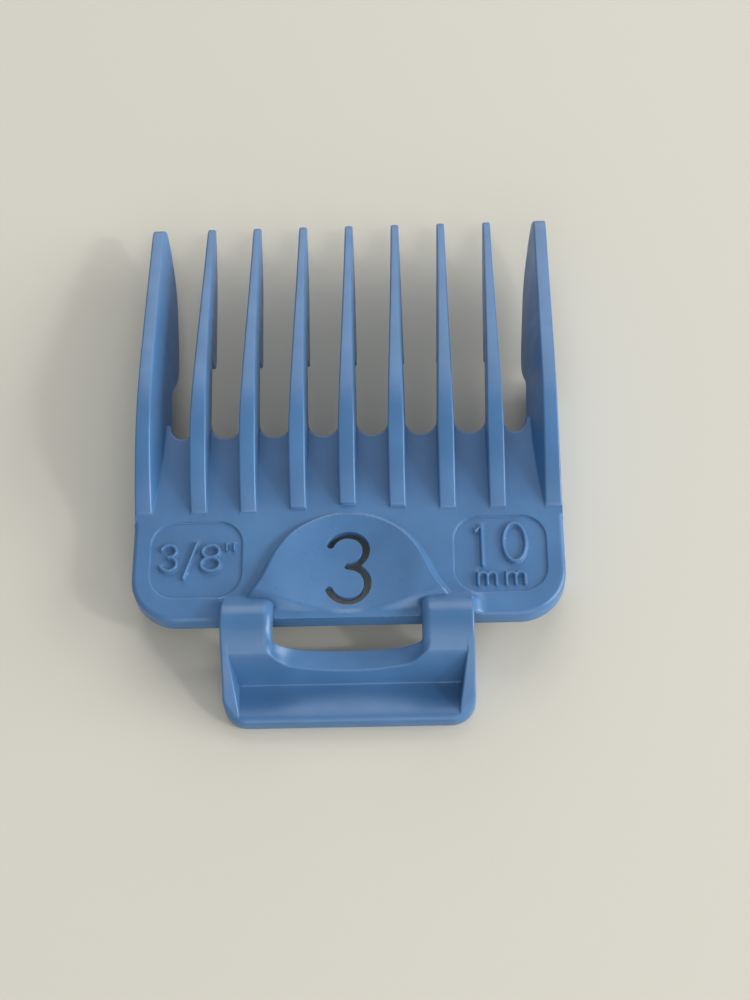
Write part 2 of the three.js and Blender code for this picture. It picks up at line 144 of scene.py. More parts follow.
class GUARD_PG_plastic(bpy.types.PropertyGroup):
    """Colours and finish of the plastic."""

    blue: tint("Blue", "Colour of the plastic", (0.058, 0.157, 0.328))
    roughness: share("Roughness", "Roughness of the moulded faces", 0.33)
    polish: share("Polish", "Roughness of the polished dish", 0.3)
    mottle: share("Mottle", "Strength of the soft colour changes left by the melt", 0.5)
    scuffs: share("Scuffs", "Strength of the hairline scuffs", 0.05)


class GUARD_PG_studio(bpy.types.PropertyGroup):
    """Floor, lamps and camera."""

    floor: tint("Floor", "Colour of the floor", (0.595, 0.575, 0.502))
    lens: bpy.props.FloatProperty(
        name="Lens", description="Focal length of the camera", default=64.8, unit="CAMERA",
    )
    lamps: bpy.props.FloatProperty(
        name="Lamps", description="Power of all the lamps, as a multiple",
        default=1.0, min=0.0, soft_max=4.0,
    )
    sky: share("Sky", "Strength of the even light from all round", 0.37)


# ---- Curves and surfaces


def bezier(points, steps):
    """Points along one Bezier curve."""
    rows = np.array(points, float)
    t = np.linspace(0.0, 1.0, steps + 1)[:, None]
    order = len(rows) - 1
    weights = [math.comb(order, k) * t**k * (1 - t) ** (order - k) for k in range(order + 1)]
    return sum(w * row for w, row in zip(weights, rows))


def arc(centre, radius, start, end, steps):
    """Points along an arc, with its angles in degrees."""
    angles = np.radians(np.linspace(start, end, steps + 1))
    across, along = np.broadcast_to(radius, 2)
    return np.stack([centre[0] + across * np.cos(angles), centre[1] + along * np.sin(angles)], 1)


def chain(*stretches, step=None):
    """One line from several stretches, with no doubled points and no side longer than step."""
    rows = np.concatenate([np.atleast_2d(np.array(s, float)) for s in stretches])
    kept = [rows[0]]
    for row in rows[1:]:
        gap = np.hypot(*(row - kept[-1]))
        if gap < SAME_SPOT:
            continue
        if step and gap > step:
            count = math.ceil(gap / step)
            kept += [kept[-1] + (row - kept[-1]) * k / count for k in range(1, count)]
        kept.append(row)
    return np.array(kept)


def closed(*stretches, step=None):
    """A closed outline: as chain, with the last point led back to the first."""
    first = np.atleast_2d(np.array(stretches[0], float))[:1]
    return chain(*stretches, first, step=step)[:-1]


def smooth_step(t):
    """0 to 1 with level ends."""
    t = np.clip(t, 0.0, 1.0)
    return t * t * (3 - 2 * t)


def soft_min(a, b, blend):
    """The lower of two heights, with the corner between them rounded."""
    h = np.clip(0.5 + 0.5 * (b - a) / blend, 0.0, 1.0)
    return b + (a - b) * h - blend * h * (1 - h)


def soft_max(a, b, blend):
    """The higher of two heights, with the corner between them filled."""
    return -soft_min(-a, -b, blend)


def drop(distance, radius):
    """How far a rounded edge falls, or a fillet stands up its wall, at a distance from it."""
    inward = radius - np.clip(distance, 0.0, radius)
    return radius - np.sqrt(np.maximum(radius**2 - inward**2, 0.0))


def nearest(points, line, ring=False):
    """Distance from each point to a line of points."""
    starts = line if ring else line[:-1]
    ends = np.roll(line, -1, axis=0) if ring else line[1:]
    span = ends - starts
    squared = np.maximum((span**2).sum(1), 1e-12)
    found = np.empty(len(points))
    block = 1500
    for first in range(0, len(points), block):
        here = points[first:first + block, None, :]
        along = np.clip(((here - starts) * span).sum(2) / squared, 0.0, 1.0)
        gap = here - (starts + along[..., None] * span)
        found[first:first + block] = np.sqrt((gap**2).sum(2)).min(1)
    return found


def inside(points, loop):
    """True for the points inside a closed outline."""
    (ax, ay), (bx, by) = loop.T, np.roll(loop, -1, axis=0).T
    x, y = points[:, 0][:, None], points[:, 1][:, None]
    rise = np.where(np.abs(by - ay) < 1e-12, 1e-12, by - ay)
    at = ax + (y - ay) * (bx - ax) / rise
    return (((ay > y) != (by > y)) & (x < at)).sum(1) % 2 == 1


def inset(line, distance, ring=False):
    """The line moved to its left by a distance."""
    before = np.roll(line, 1, axis=0)
    after = np.roll(line, -1, axis=0)
    if not ring:
        before[0] = 2 * line[0] - line[1]
        after[-1] = 2 * line[-1] - line[-2]
    sides = []
    for way in (line - before, after - line):
        length_of = np.maximum(np.hypot(way[:, 0], way[:, 1]), 1e-9)
        sides.append(np.stack([-way[:, 1], way[:, 0]], 1) / length_of[:, None])
    mitre = (sides[0] + sides[1]) / np.maximum(1 + (sides[0] * sides[1]).sum(1), 0.5)[:, None]
    return line + mitre * distance


def looped(row):
    """The row with its first point again at its end."""
    return np.concatenate([row, row[:1]])


def handed(right, side):
    """A right piece's outline, or the same outline mirrored for the left piece."""
    return right if side > 0 else right[::-1] * (-1, 1)


def runs(row, keep):
    """The unbroken stretches of a row that are kept."""
    marks = np.flatnonzero(np.diff(np.concatenate([[0], keep.astype(int), [0]])))
    return [row[a:b] for a, b in zip(marks[::2], marks[1::2])]


class Edge:
    """A rounded edge: a line with the material on its left, and its radius."""

    turn = 15

    def __init__(self, line, radius, ring=False):
        self.line = np.array(line, float)
        self.radius = radius
        self.ring = ring

    def gap(self, points):
        return nearest(points, self.line, self.ring)

    def guides(self):
        """Rows of points that the rounding needs, plus one just past it."""
        turns = range(self.turn, 91, self.turn)
        steps = [self.radius * (1 - math.cos(math.radians(turn))) for turn in turns]
        rows = []
        for distance in [*steps, 1.35 * self.radius]:
            row = inset(self.line, distance, self.ring)
            row = looped(row) if self.ring else row
            rows += runs(row, self.gap(row) > 0.97 * distance)
        return rows


def rounded(height, edges, sign):
    """A height function that falls away at its rounded edges."""
    def shaped(points):
        value = height(points)
        if not edges:
            return value
        falls = [drop(edge.gap(points), edge.radius) for edge in edges]
        return value - sign * np.max(falls, axis=0)
    return shaped


def level(value):
    """A height function that is the same everywhere."""
    return lambda points: np.full(len(points), value)


def grid(xs, ys):
    """Every pairing of two lists of stations."""
    across, along = np.meshgrid(xs, ys)
    return np.stack([across.ravel(), along.ravel()], 1)


def rings(loops):
    """The sides of closed outlines, as pairs of point numbers that run through all of them."""
    first = 0
    for loop in loops:
        count = len(loop)
        yield from ((first + k, first + (k + 1) % count) for k in range(count))
        first += count


def within(points, loops):
    """True for the points inside the first outline and outside the others."""
    keep = inside(points, loops[0])
    for hole in loops[1:]:
        keep &= ~inside(points, hole)
    return keep


def cap(loops, rows, spread):
    """Triangles inside the first loop and outside the others, whose sides follow the rows."""
    rim = np.concatenate(loops)
    sides, points, first = list(rings(loops)), [rim], len(rim)

    def kept(places):
        gap = np.min([nearest(places, loop, True) for loop in loops], axis=0)
        return within(places, loops) & (gap > RIM_GAP)

    for row in rows:
        for run in runs(row, kept(row)):
            sides += [(first + k, first + k + 1) for k in range(len(run) - 1)]
            points.append(run)
            first += len(run)
    if len(spread):
        spread = np.unique(np.round(spread, 3), axis=0)
        spread = spread[kept(spread)]
        if len(points) > 1:
            tree = KDTree(first)
            for index, point in enumerate(np.concatenate(points)):
                tree.insert((*point, 0.0), index)
            tree.balance()
            clear = [p for p in spread if tree.find((*p, 0.0))[2] > ROW_GAP]
            spread = np.array(clear).reshape(-1, 2)
        points.append(spread)
    made = delaunay_2d_cdt([Vector(p) for p in np.concatenate(points)], sides, [], 0, 1e-6)
    spots = np.array([tuple(p) for p in made[0]])
    faces = np.array([f for f in made[2] if len(f) == 3])
    place = {source: index for index, sources in enumerate(made[3]) for source in sources}
    places = [place[k] for k in range(len(rim))]
    drawn = np.split(spots[places], np.cumsum([len(loop) for loop in loops])[:-1])
    return spots, faces[within(spots[faces].mean(1), drawn)], places


def flat_plan(points, heights):
    """The plan lies in X and Y, and heights run up Z."""
    return np.column_stack([points, heights])


def side_plan(points, heights):
    """The plan lies in Y and Z, and heights run along X."""
    return np.column_stack([heights, points])


def slopes(height, points):
    """Unit normals of a height function, in the plan's own axes."""
    reach = 0.004
    shifts = ((reach, 0.0), (0.0, reach))
    tilt = [(height(points + way) - height(points - way)) / (2 * reach) for way in shifts]
    normal = np.stack([-tilt[0], -tilt[1], np.ones(len(points))], 1)
    return normal / np.linalg.norm(normal, axis=1)[:, None]


def moulded(
    name, loops, high, low, high_guides=(), low_guides=(), high_edges=(), low_edges=(),
    place=flat_plan,
):
    """A closed body between two height functions over one plan, shaded by their own slopes.

    Guides are grids of points, or lists that hold rows of points.
    """
    loops = [np.array(loop, float) for loop in loops]
    vertices, faces, normals, rims = [], [], [], []
    total = 0
    for height, guides, edges, sign in (
        (high, high_guides, high_edges, 1),
        (low, low_guides, low_edges, -1),
    ):
        shaped = rounded(height, edges, sign)
        rows = [row for guide in guides if isinstance(guide, list) for row in guide]
        rows += [row for edge in edges for row in edge.guides()]
        spread = [guide for guide in guides if not isinstance(guide, list)]
        spread = np.concatenate(spread) if spread else np.empty((0, 2))
        spots, triangles, rim = cap(loops, rows, spread)
        vertices.append(place(spots, shaped(spots)))
        normal = slopes(shaped, spots) * sign
        if edges:
            clear = np.min([edge.gap(spots) for edge in edges], axis=0)
            normal[clear < EDGE_GAP] = 0.0
        normals.append(place(normal[:, :2], normal[:, 2]))
        faces += [tuple(total + t) for t in (triangles if sign > 0 else triangles[:, ::-1])]
        rims.append([total + k for k in rim])
        total += len(spots)
    capped = len(faces)
    for here, then in rings(loops):
        faces.append((rims[1][here], rims[1][then], rims[0][then], rims[0][here]))
    spots = np.concatenate(vertices) + np.array([0.0, ROOT_LINE, 0.0])
    mesh = bpy.data.meshes.new(name)
    mesh.from_pydata((spots / METRE).tolist(), [], [tuple(int(k) for k in f) for f in faces])
    mesh.shade_smooth()
    mesh.set_sharp_from_angle(angle=SHARP_ANGLE)
    corner_normals = np.zeros((len(mesh.loops), 3))
    point_normals = np.concatenate(normals)
    for polygon in mesh.polygons[:capped]:
        for corner in polygon.loop_indices:
            corner_normals[corner] = point_normals[mesh.loops[corner].vertex_index]
    mesh.normals_split_custom_set(corner_normals.tolist())
    piece = bpy.data.objects.new(name, mesh)
    bpy.context.scene.collection.objects.link(piece)
    return piece


# ---- Shapes that pieces share

TOOTH_COUNT = 7
TOOTH_PITCH = 2 * RAIL_INNER / (TOOTH_COUNT + 1)
TOOTH_CENTRES = [TOOTH_PITCH * (k - (TOOTH_COUNT - 1) / 2) for k in range(TOOTH_COUNT)]
ROOT_WIDTH = 1.9
TIP_WIDTH = 0.95
TAPER_START = 10.0
TOOTH_DRAFT = 0.035
SIDE_TOOTH_WIDTH = 1.97
SIDE_TOOTH_TAPER = 0.011
SIDE_TOOTH_DRAFT = 0.3
SIDE_OUTER_DRAFT = 0.04
SCALLOP_DEPTH = 1.85
SCALLOP_UNDER_EDGE = 0.15
CORNER_RADIUS = 5.5
BADGE_CORNER = 3.0
BADGE_LAP = 0.06
BADGE_RECESS = 0.5
BADGE_UNDER = PLATE_TOP - 0.55
# Width of stroke that the characters' centre lines are laid out for.
LETTER_LINE = 0.45

PAD_FRONT = -0.2
PAD_SEAT = PLATE_TOP - 0.9
PAD_EDGE = 0.6
PAD_LIP = 0.03
PAD_REAR_EDGE = 0.12
NUMBER_EDGE = 0.07
DISH_DEPTH = 0.28
DISH_RIM = 1.1
DISH_LOWEST = -7.6
RAMP_FOOT = -10.6
NUMBER_BOX = (-2.7, PLATE_REAR + 1.65, 5.4, 9.2)
HOLLOW_RISE = 1.17
HOLLOW_Y = -7.0
HOLLOW_HALF = (8.6, 6.2)


def tooth_top_width(y):
    """Width along a tooth's top edge: full over the plate, then narrowing to the tip."""
    along = np.clip((y - TAPER_START) / (TOOTH_TIP - TAPER_START), 0.0, 1.0)
    return ROOT_WIDTH + (TIP_WIDTH - ROOT_WIDTH) * (1 - (1 - along) ** 1.6)


CLEAR_FRONT = PLATE_FRONT + 0.01
# Underside of a side tooth where it stands on its rail, from the plate's front to its hook.
SIDE_UNDER = [(CLEAR_FRONT, 4.95), (16.9, 4.95), (17.8, 4.7), (18.5, 4.2), (19.2, 3.6)]
NOSE_Y = TOOTH_TIP - 0.4


def tooth_outline(root, beside=False):
    """Side view of a tooth from its root: foot, hook, swept belly, nose and arched back."""
    root_z, crown, foot_z = PLATE_TOP + 0.06 + root * 0.55, PLATE_TOP + 0.32, PLATE_TOP - 0.02
    crest, shoulder, nose, chin = (13.0, CREST_TOP), (39.0, crown), (NOSE_Y, 5.35), (40.3, 5.1)
    back = chain(
        bezier([(root, root_z), (root + 3.7, root_z + 2.45), (8.5, CREST_TOP), crest], 30),
        bezier([crest, (18.5, CREST_TOP), (28.0, crown + 2.1), shoulder], 44),
        bezier([shoulder, (40.0, 6.22), (NOSE_Y - 0.15, 5.95), nose], 12),
    )
    under = chain(
        bezier([nose, (NOSE_Y, 5.1), (40.7, 5.2), chin], 6),
        bezier([chin, (38.2, 4.6), (36.5, 3.0), (31.0, 2.75)], 16),
    )
    if beside:
        hook = bezier([(25.0, HOOK_FOOT), (22.2, HOOK_FOOT), (20.4, 2.75), SIDE_UNDER[-1]], 8)
        foot = [*SIDE_UNDER[::-1], (CLEAR_FRONT, foot_z), (root, foot_z)]
    else:
        hook = bezier([(22.8, HOOK_FOOT), (21.7, HOOK_FOOT), (21.5, 3.1), (21.3, 3.9)], 6)
        foot = [(20.9, PLATE_TOP), (root, foot_z)]
    under = chain(under, hook, foot, step=1.2)
    return back[::-1], closed(under[::-1], back[::-1])


def back_height(root):
    """Height of a tooth's back along its length."""
    line = tooth_outline(root)[0][::-1]
    climbing = np.concatenate([[True], np.diff(line[:, 0]) > 1e-4])
    return lambda y: np.interp(y, line[climbing, 0], line[climbing, 1])


SIDE_BACK = back_height(0.0)


def tooth_half(y, z, back):
    """Half of a tooth's width at a height z below its back."""
    return tooth_top_width(y) / 2 + TOOTH_DRAFT * np.maximum(back(y) - z, 0.0)


def tooth_foot(y, root):
    """Half of a tooth's width where it meets the plate."""
    return tooth_half(y, PLATE_TOP, back_height(root))


def side_tooth_inner(y, z=PLATE_TOP):
    """Where a side tooth's leaning inner face stands at a height z."""
    lean = SIDE_TOOTH_DRAFT * np.maximum(SIDE_BACK(y) - z, 0.0)
    return HALF_WIDTH - SIDE_TOOTH_WIDTH + SIDE_TOOTH_TAPER * y - lean


def pad_outline():
    """The pad's arch, its flared shoulders and the tongue that runs back between the arms."""
    rear, foot = PLATE_REAR - 0.015, RAMP_FOOT - 1.6
    tongue, shoulder, flank = ARM_INNER + 0.06, 12.7, (9.6, DISH_LOWEST)
    half = chain(
        [(tongue, rear), (tongue, foot)],
        bezier([(shoulder, foot), (shoulder, foot + 0.5), (10.9, -10.6), flank], 14),
        bezier([flank, (8.27, -3.9), (5.28, PAD_FRONT), (0.0, PAD_FRONT)], 26),
    )
    return closed(half, half[::-1] * (-1, 1), step=0.4)


def pad_side(outline):
    """The pad's outline without its rear end, which is open to the slot."""
    return outline[(outline[:, 1] > PLATE_REAR) | (np.abs(outline[:, 0]) > ARM_INNER)]


def pad_rim(outline):
    """The part of the pad's outline that is rounded: the arch and its shoulders."""
    return outline[outline[:, 1] > RAMP_FOOT - 1.7]


def pad_step(x):
    """Where the dish ends along the slot, and how softly."""
    return -12.8 + 0.0125 * x**2, 0.7 + 0.014 * x**2


def pad_height(rim):
    """A dish between two level shoulders, with a level lip along the slot and a rounded rim."""
    def height(points):
        x, y = points.T
        across = 1.5 * (np.sqrt(1 + (x / 4.8) ** 2) - 1)
        along = 0.0075 * (y - DISH_LOWEST) ** 2
        bowl = PLATE_TOP - DISH_DEPTH + across + along
        dish = soft_min(bowl, PLATE_TOP + DISH_RIM, 0.3)
        rear, reach = pad_step(x)
        ahead = smooth_step((y - rear + 0.4 * reach) / reach)
        above = PAD_LIP + (dish - PLATE_TOP - PAD_LIP) * ahead
        into = np.clip(1 - nearest(points, rim) / PAD_EDGE, 0.0, 1.0)
        return PLATE_TOP + above * np.sqrt(1 - into**2)

    return height


def half_turn(at, way, radius):
    """The round end of a stroke that points a given way."""
    middle = math.degrees(math.atan2(way[1], way[0]))
    return arc(at, radius, middle - 90, middle + 90, 8)


def stroke(line, width):
    """The outline of a round-ended stroke: its right side, end, left side and start."""
    half = width / 2
    end = half_turn(line[-1], line[-1] - line[-2], half)[1:-1]
    start = half_turn(line[0], line[0] - line[1], half)[1:-1]
    return inset(line, -half), end, inset(line, half)[::-1], start


def bowls(left, rear, width, height, line):
    """Centres and reaches of the upper and the lower bowl of a 3 or an 8 that fills a box."""
    upper = (height - line) * 0.235
    lower = (height - line) / 2 - upper
    reach = (width - line) / 2
    middle = left + width / 2
    top = (middle, rear + height - line / 2 - upper)
    return top, (reach, upper), (middle, rear + line / 2 + lower), (reach, lower)


def three_lines(*box):
    """Centre lines of a 3 that fills a box: two bowls that meet at its waist."""
    top, upper, bottom, lower = bowls(*box)
    return arc(top, (upper[0] * 0.93, upper[1]), 160, -90, 30), arc(bottom, lower, 90, -160, 34)


def number_loop(width):
    """The outline of the 3 that is cut through the pad, clockwise."""
    top, bottom = three_lines(*NUMBER_BOX, width)

    def outside(rows, other):
        return rows[nearest(rows, other) > 0.5 * width - 1e-3]

    right_a, _, left_a, start_a = stroke(top, width)
    right_b, end_b, left_b, start_b = stroke(bottom, width)
    return np.concatenate([
        outside(left_a[::-1], bottom), outside(left_b[::-1], top), end_b[::-1],
        outside(right_b[::-1], top), outside(start_b, top)[::-1],
        outside(right_a[::-1], bottom), start_a[::-1],
    ])


# ---- Plastic


class Shading:
    """A new material and its nodes."""

    def __init__(self, name):
        self.material = bpy.data.materials.new(name)
        self.material.use_nodes = True
        self.tree = self.material.node_tree
        self.shader = self.tree.nodes["Principled BSDF"]
        self.place = self.tree.nodes.new("ShaderNodeTexCoord").outputs["Object"]

    def fill(self, node, inputs):
        """Gives each named input its value, or links it to another node's output."""
        for name, value in inputs.items():
            if isinstance(value, bpy.types.NodeSocket):
                self.tree.links.new(value, node.inputs[name])
            else:
                node.inputs[name].default_value = value

    def add(self, kind, output, inputs, **choices):
        """A new node with its inputs filled; returns one of its outputs."""
        node = self.tree.nodes.new("ShaderNode" + kind)
        for name, choice in choices.items():
            setattr(node, name, choice)
        self.fill(node, inputs)
        return node.outputs[output]

    def noise(self, scale, detail, stretch=(1, 1, 1), turn=0.0):
        """Noise in the piece's own space, stretched along one axis and turned about Z."""
        fit = {"Vector": self.place, "Scale": stretch, "Rotation": (0, 0, turn)}
        spot = self.add("Mapping", "Vector", fit)
        return self.add("TexNoise", "Fac", {"Vector": spot, "Scale": scale, "Detail": detail})

    def ranged(self, source, low, high, to_low, to_high):
        """A value moved from one range to another, and held inside it."""
        ends = {"From Min": low, "From Max": high, "To Min": to_low, "To Max": to_high}
        return self.add("MapRange", "Result", {"Value": source, **ends})

    def mixed(self, factor, a, b):
        """Colour a, going over to colour b as the factor rises to 1."""
        a, b = [(*c, 1.0) if isinstance(c, tuple) else c for c in (a, b)]
        return self.add("Mix", "Result", {"Factor": factor, "A": a, "B": b}, data_type="RGBA")

    def summed(self, a, b):
        return self.add("Math", "Value", {0: a, 1: b}, operation="ADD")

    def bump(self, strength, distance, height, **below):
        """A normal tilted by a height, with its distance in metres, over another normal."""
        inputs = {"Strength": strength, "Distance": distance, "Height": height, **below}
        return self.add("Bump", "Normal", inputs)


def plastic(name, look, roughness):
    """Blue moulded plastic with soft melt mottling, a fine grain and hairline scuffs."""
    made = Shading(name)
    noise, ranged, mixed, summed = made.noise, made.ranged, made.mixed, made.summed
    blue = Vector(look.blue)
    swing = 0.16 * look.mottle
    pale = tuple(min(1.0, c * (1 + swing) + 0.01 * look.mottle) for c in blue)
    deep = tuple(c * (1 - swing) for c in blue)
    light = tuple(c * 1.25 for c in blue)
    chalk = tuple(0.55 * c + 0.3 for c in blue)

    melt = ranged(noise(140.0, 3.0), 0.35, 0.65, 0.0, 1.0)
    speck = ranged(noise(2600.0, 2.0), 0.3, 0.7, 0.0, 1.0)
    grained = mixed(ranged(speck, 0.0, 1.0, 0.0, 0.1 * look.mottle), mixed(melt, deep, pale), light)
    scuff = summed(
        ranged(noise(900.0, 1.0, (1, 0.12, 1), 0.5), 0.70, 0.78, 0.0, 1.0),
        ranged(noise(760.0, 1.0, (0.14, 1, 1), 0.9), 0.71, 0.79, 0.0, 1.0),
    )
    sheen = ranged(noise(420.0, 4.0), 0.3, 0.7, roughness - 0.05, roughness + 0.07)
    sink = made.bump(0.12, 0.00006, noise(260.0, 2.0))
    made.fill(made.shader, {
        "IOR": 1.49,
        "Specular IOR Level": 0.5,
        "Base Color": mixed(ranged(scuff, 0.0, 1.0, 0.0, 0.22 * look.scuffs), grained, chalk),
        "Roughness": summed(sheen, ranged(scuff, 0.0, 1.0, 0.0, 0.15 * look.scuffs)),
        "Normal": made.bump(0.25, 0.000006, noise(5200.0, 2.0), Normal=sink),
    })
    return made.material


def finish_of(polished):
    """The guard's plastic, made once and shared by its pieces."""
    look = bpy.context.scene.guard_plastic
    name = "polished_blue_plastic" if polished else "moulded_blue_plastic"
    roughness = look.polish if polished else look.roughness
    return bpy.data.materials.get(name) or plastic(name, look, roughness)


def place_piece(piece, body, *nodes, polished=False):
    """Gives a piece its plastic and its body, and hides the CAD nodes that it stands for."""
    piece.data.materials.append(finish_of(polished))
    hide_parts(*nodes)
    if body:
        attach(piece, body)


def sizes_of(context):
    """The mould's sizes in millimetres."""
    mould = context.scene.guard_mould
    names = GUARD_PG_mould.__annotations__
    return SimpleNamespace(**{name: getattr(mould, name) * METRE for name in names})


# ---- Plate


def badge_box(side):
    """Centre, half sizes and corner radius of a badge's outline."""
    low, high = BADGES[side]
    return (low[:2] + high[:2]) / 2, (high[:2] - low[:2]) / 2, BADGE_CORNER


def badge_depth(points, side):
    """Signed distance inside a badge's outline: positive inside."""
    centre, half, radius = badge_box(side)
    reach = np.abs(points - centre) - (half - radius)
    outer = np.hypot(np.maximum(reach[:, 0], 0.0), np.maximum(reach[:, 1], 0.0))
    return radius - outer - np.minimum(np.maximum(reach[:, 0], reach[:, 1]), 0.0)


def badge_outline(side, shrink=0.0):
    """A badge's rounded rectangle, anticlockwise."""
    centre, half, radius = badge_box(side)
    across, along = half - radius
    bend = radius - shrink
    turns = [(1, -1, -90), (1, 1, 0), (-1, 1, 90), (-1, -1, 180)]
    return closed(
        *[arc(centre + (sx * across, sy * along), bend, a, a + 90, 14) for sx, sy, a in turns],
        step=0.8,
    )


def scalloped_front():
    """The plate's front edge from right to left: a round scallop in each gap between teeth.

    A scallop leaves a little straight edge beside each tooth.
    """
    beside_inner, beside_last, beside_side = 0.1, 0.08, 0.55
    reach = (TOOTH_PITCH - ROOT_WIDTH) / 2 - beside_inner
    side_end = side_tooth_inner(PLATE_FRONT) - beside_side
    side_reach = (side_end - TOOTH_CENTRES[-1] - ROOT_WIDTH / 2) / 2 - beside_last / 2
    side_gap = side_end - side_reach
    gaps = [(side_gap, side_reach)]
    gaps += [(c - TOOTH_PITCH / 2, reach) for c in TOOTH_CENTRES[:0:-1]]
    gaps += [(-side_gap, side_reach)]
    return [arc((x, PLATE_FRONT), (half, SCALLOP_DEPTH), 0, -180, 22) for x, half in gaps]


def tooth_root(index):
    """How far in front of the others a tooth starts: the middle ones stand clear of the pad."""
    return max(0.0, 0.8 - 0.4 * abs(index - (TOOTH_COUNT - 1) / 2))


def arm_blend(points, radius):
    """The fillet on the plate round the outer side of an arm's root."""
    out = np.abs(points[:, 0]) - ARM_OUTER
    ahead = np.maximum(points[:, 1] - (RAMP_FOOT - 1.2), 0.0) / 1.6
    reach = np.clip(np.hypot(np.maximum(out, 0.0) / radius, ahead), 0.0, 1.0)
    return np.where(out > -0.4, radius * (1 - np.sqrt(1 - (1 - reach) ** 2)), 0.0)


def plate_height(mould):
    """Top of the plate: level, filleted round what stands on it, recessed for what is let in."""
    small, crisp = mould.root_fillet, mould.badge_edge
    pad = pad_outline()
    pad_wall = pad_side(pad)

    def height(points):
        across, along = np.abs(points[:, 0]), points[:, 1]
        rise = np.zeros(len(points))
        for index, centre in enumerate(TOOTH_CENTRES):
            root = tooth_root(index)
            beside = np.abs(points[:, 0] - centre) - tooth_foot(np.maximum(along, root), root)
            behind = np.maximum(root - along, 0.0) * 1.6
            rise = np.maximum(rise, drop(np.hypot(np.maximum(beside, 0.0), behind), small))
        beside = np.maximum(side_tooth_inner(np.maximum(along, 0.0)) - across, 0.0)
        rise = np.maximum(rise, drop(np.hypot(beside, np.maximum(-along, 0.0) * 1.6), small))
        out = nearest(points, pad_wall)
        under_pad = inside(points, pad)
        foot = 0.05 + 0.3 * smooth_step(-along / 9.0)
        rise = np.where(under_pad, foot, np.maximum(rise, foot * drop(out / foot, 1.0)))
        top = PLATE_TOP + np.maximum(rise, arm_blend(points, mould.arm_fillet))
        sunk = np.where(under_pad, np.clip((out - 0.1) / 0.05, 0.0, 1.0), 0.0)
        top = top + (PAD_SEAT - top) * sunk
        for side, _ in SIDES:
            depth = badge_depth(points, side)
            wall = crisp + BADGE_RECESS * np.clip(depth / 0.03, 0.0, 1.0)
            top = top - np.where(depth >= 0, wall, drop(-depth, crisp))
        return top

    return height


def plate_under(points):
    """Underside of the plate: level, and hollowed so that the number is cut through a skin."""
    across, along = HOLLOW_HALF
    deep = np.hypot(points[:, 0] / across, (points[:, 1] - HOLLOW_Y) / along)
    return PLATE_SEAT + HOLLOW_RISE * smooth_step((1.0 - deep) / 0.12)


class GUARD_OT_plate(bpy.types.Operator):
    """Make the scalloped plate that the teeth, the pad and the clip stand on"""

    bl_idname = "guard.plate"
    bl_label = "Plate"

    def execute(self, context):
        mould = sizes_of(context)
        corner_x = HALF_WIDTH - CORNER_RADIUS
        corner_y = PLATE_REAR + CORNER_RADIUS
        left_corner = arc((-corner_x, corner_y), CORNER_RADIUS, 180, 270, 24)
        right_corner = arc((corner_x, corner_y), CORNER_RADIUS, 270, 360, 24)
        fronts = scalloped_front()
        outline = closed(
            [(-HALF_WIDTH, PLATE_FRONT)], left_corner,
            [(-ARM_INNER, PLATE_REAR), (ARM_INNER, PLATE_REAR)], right_corner,
            [(HALF_WIDTH, PLATE_FRONT)], *fronts, step=0.7,
        )
        start, end = (HALF_WIDTH, -1.2), (ARM_OUTER + 0.4, PLATE_REAR)
        left_side = chain([(-start[0], start[1])], left_corner, [(-end[0], end[1])], step=0.7)
        right_side = chain([end], right_corner, [start], step=0.7)
        edges = [Edge(line, mould.plate_edge) for line in (left_side, right_side)]
        edges += [Edge(front, mould.scallop_edge) for front in fronts]
        wall = pad_side(pad_outline())
        number = number_loop(mould.number_width)

        fine = [grid(np.arange(-24.5, 24.6, 0.7), np.arange(-13.2, 12.0, 0.7))]
        lines = [inset(wall, -d) for d in (0.01, 0.04, 0.09, 0.16, 0.26, 0.36, 0.46, -0.09, -0.16)]
        ys = np.arange(-0.3, 11.95, 0.35)
        steps = np.array([-0.3, -0.1, -0.01, 0.02, 0.05, 0.1, 0.18])
        ends = np.array([0.01, 0.04, 0.08, 0.12])

        def both_ways(centre, reach):
            """Rows at both sides of a line that runs along the teeth."""
            return [np.stack([centre + hand * reach, ys], 1) for hand in (-1, 1)]

        for index, centre in enumerate(TOOTH_CENTRES):
            root = tooth_root(index)
            foot = tooth_foot(np.maximum(ys, root), root)
            for step in steps:
                lines += both_ways(centre, foot + step)
            fine.append(grid(centre + np.linspace(-1.1, 1.1, 9), root - ends))
        foot = side_tooth_inner(np.maximum(ys, 0.0))
        for step in steps:
            lines += both_ways(0.0, foot - step)
        foot_ends = grid(np.linspace(22.6, 24.8, 7), -ends[::-1])
        fine += [foot_ends, foot_ends * (-1, 1)]
        beside_arm = np.array([-0.3, 0.02, 0.08, 0.2, 0.36, 0.56, 0.8, 1.1, 1.4, 1.7])
        for side, _ in SIDES:
            fine.append(grid(side * (ARM_OUTER + beside_arm), np.arange(-13.4, -9.6, 0.3)))
            for shift in (-0.12, -0.08, -0.04, -0.016, 0.0, 0.03, 0.08):
                lines.append(looped(badge_outline(side, shift)))
        piece = moulded(
            "plate", [outline, number], plate_height(mould), plate_under,
            [*fine, lines], [grid(np.arange(-9.0, 9.1, 0.5), np.arange(-13.0, -0.5, 0.5))],
            edges, [Edge(front, SCALLOP_UNDER_EDGE) for front in fronts],
        )
        place_piece(piece, "guard_body", "base_plate")
        return {"FINISHED"}


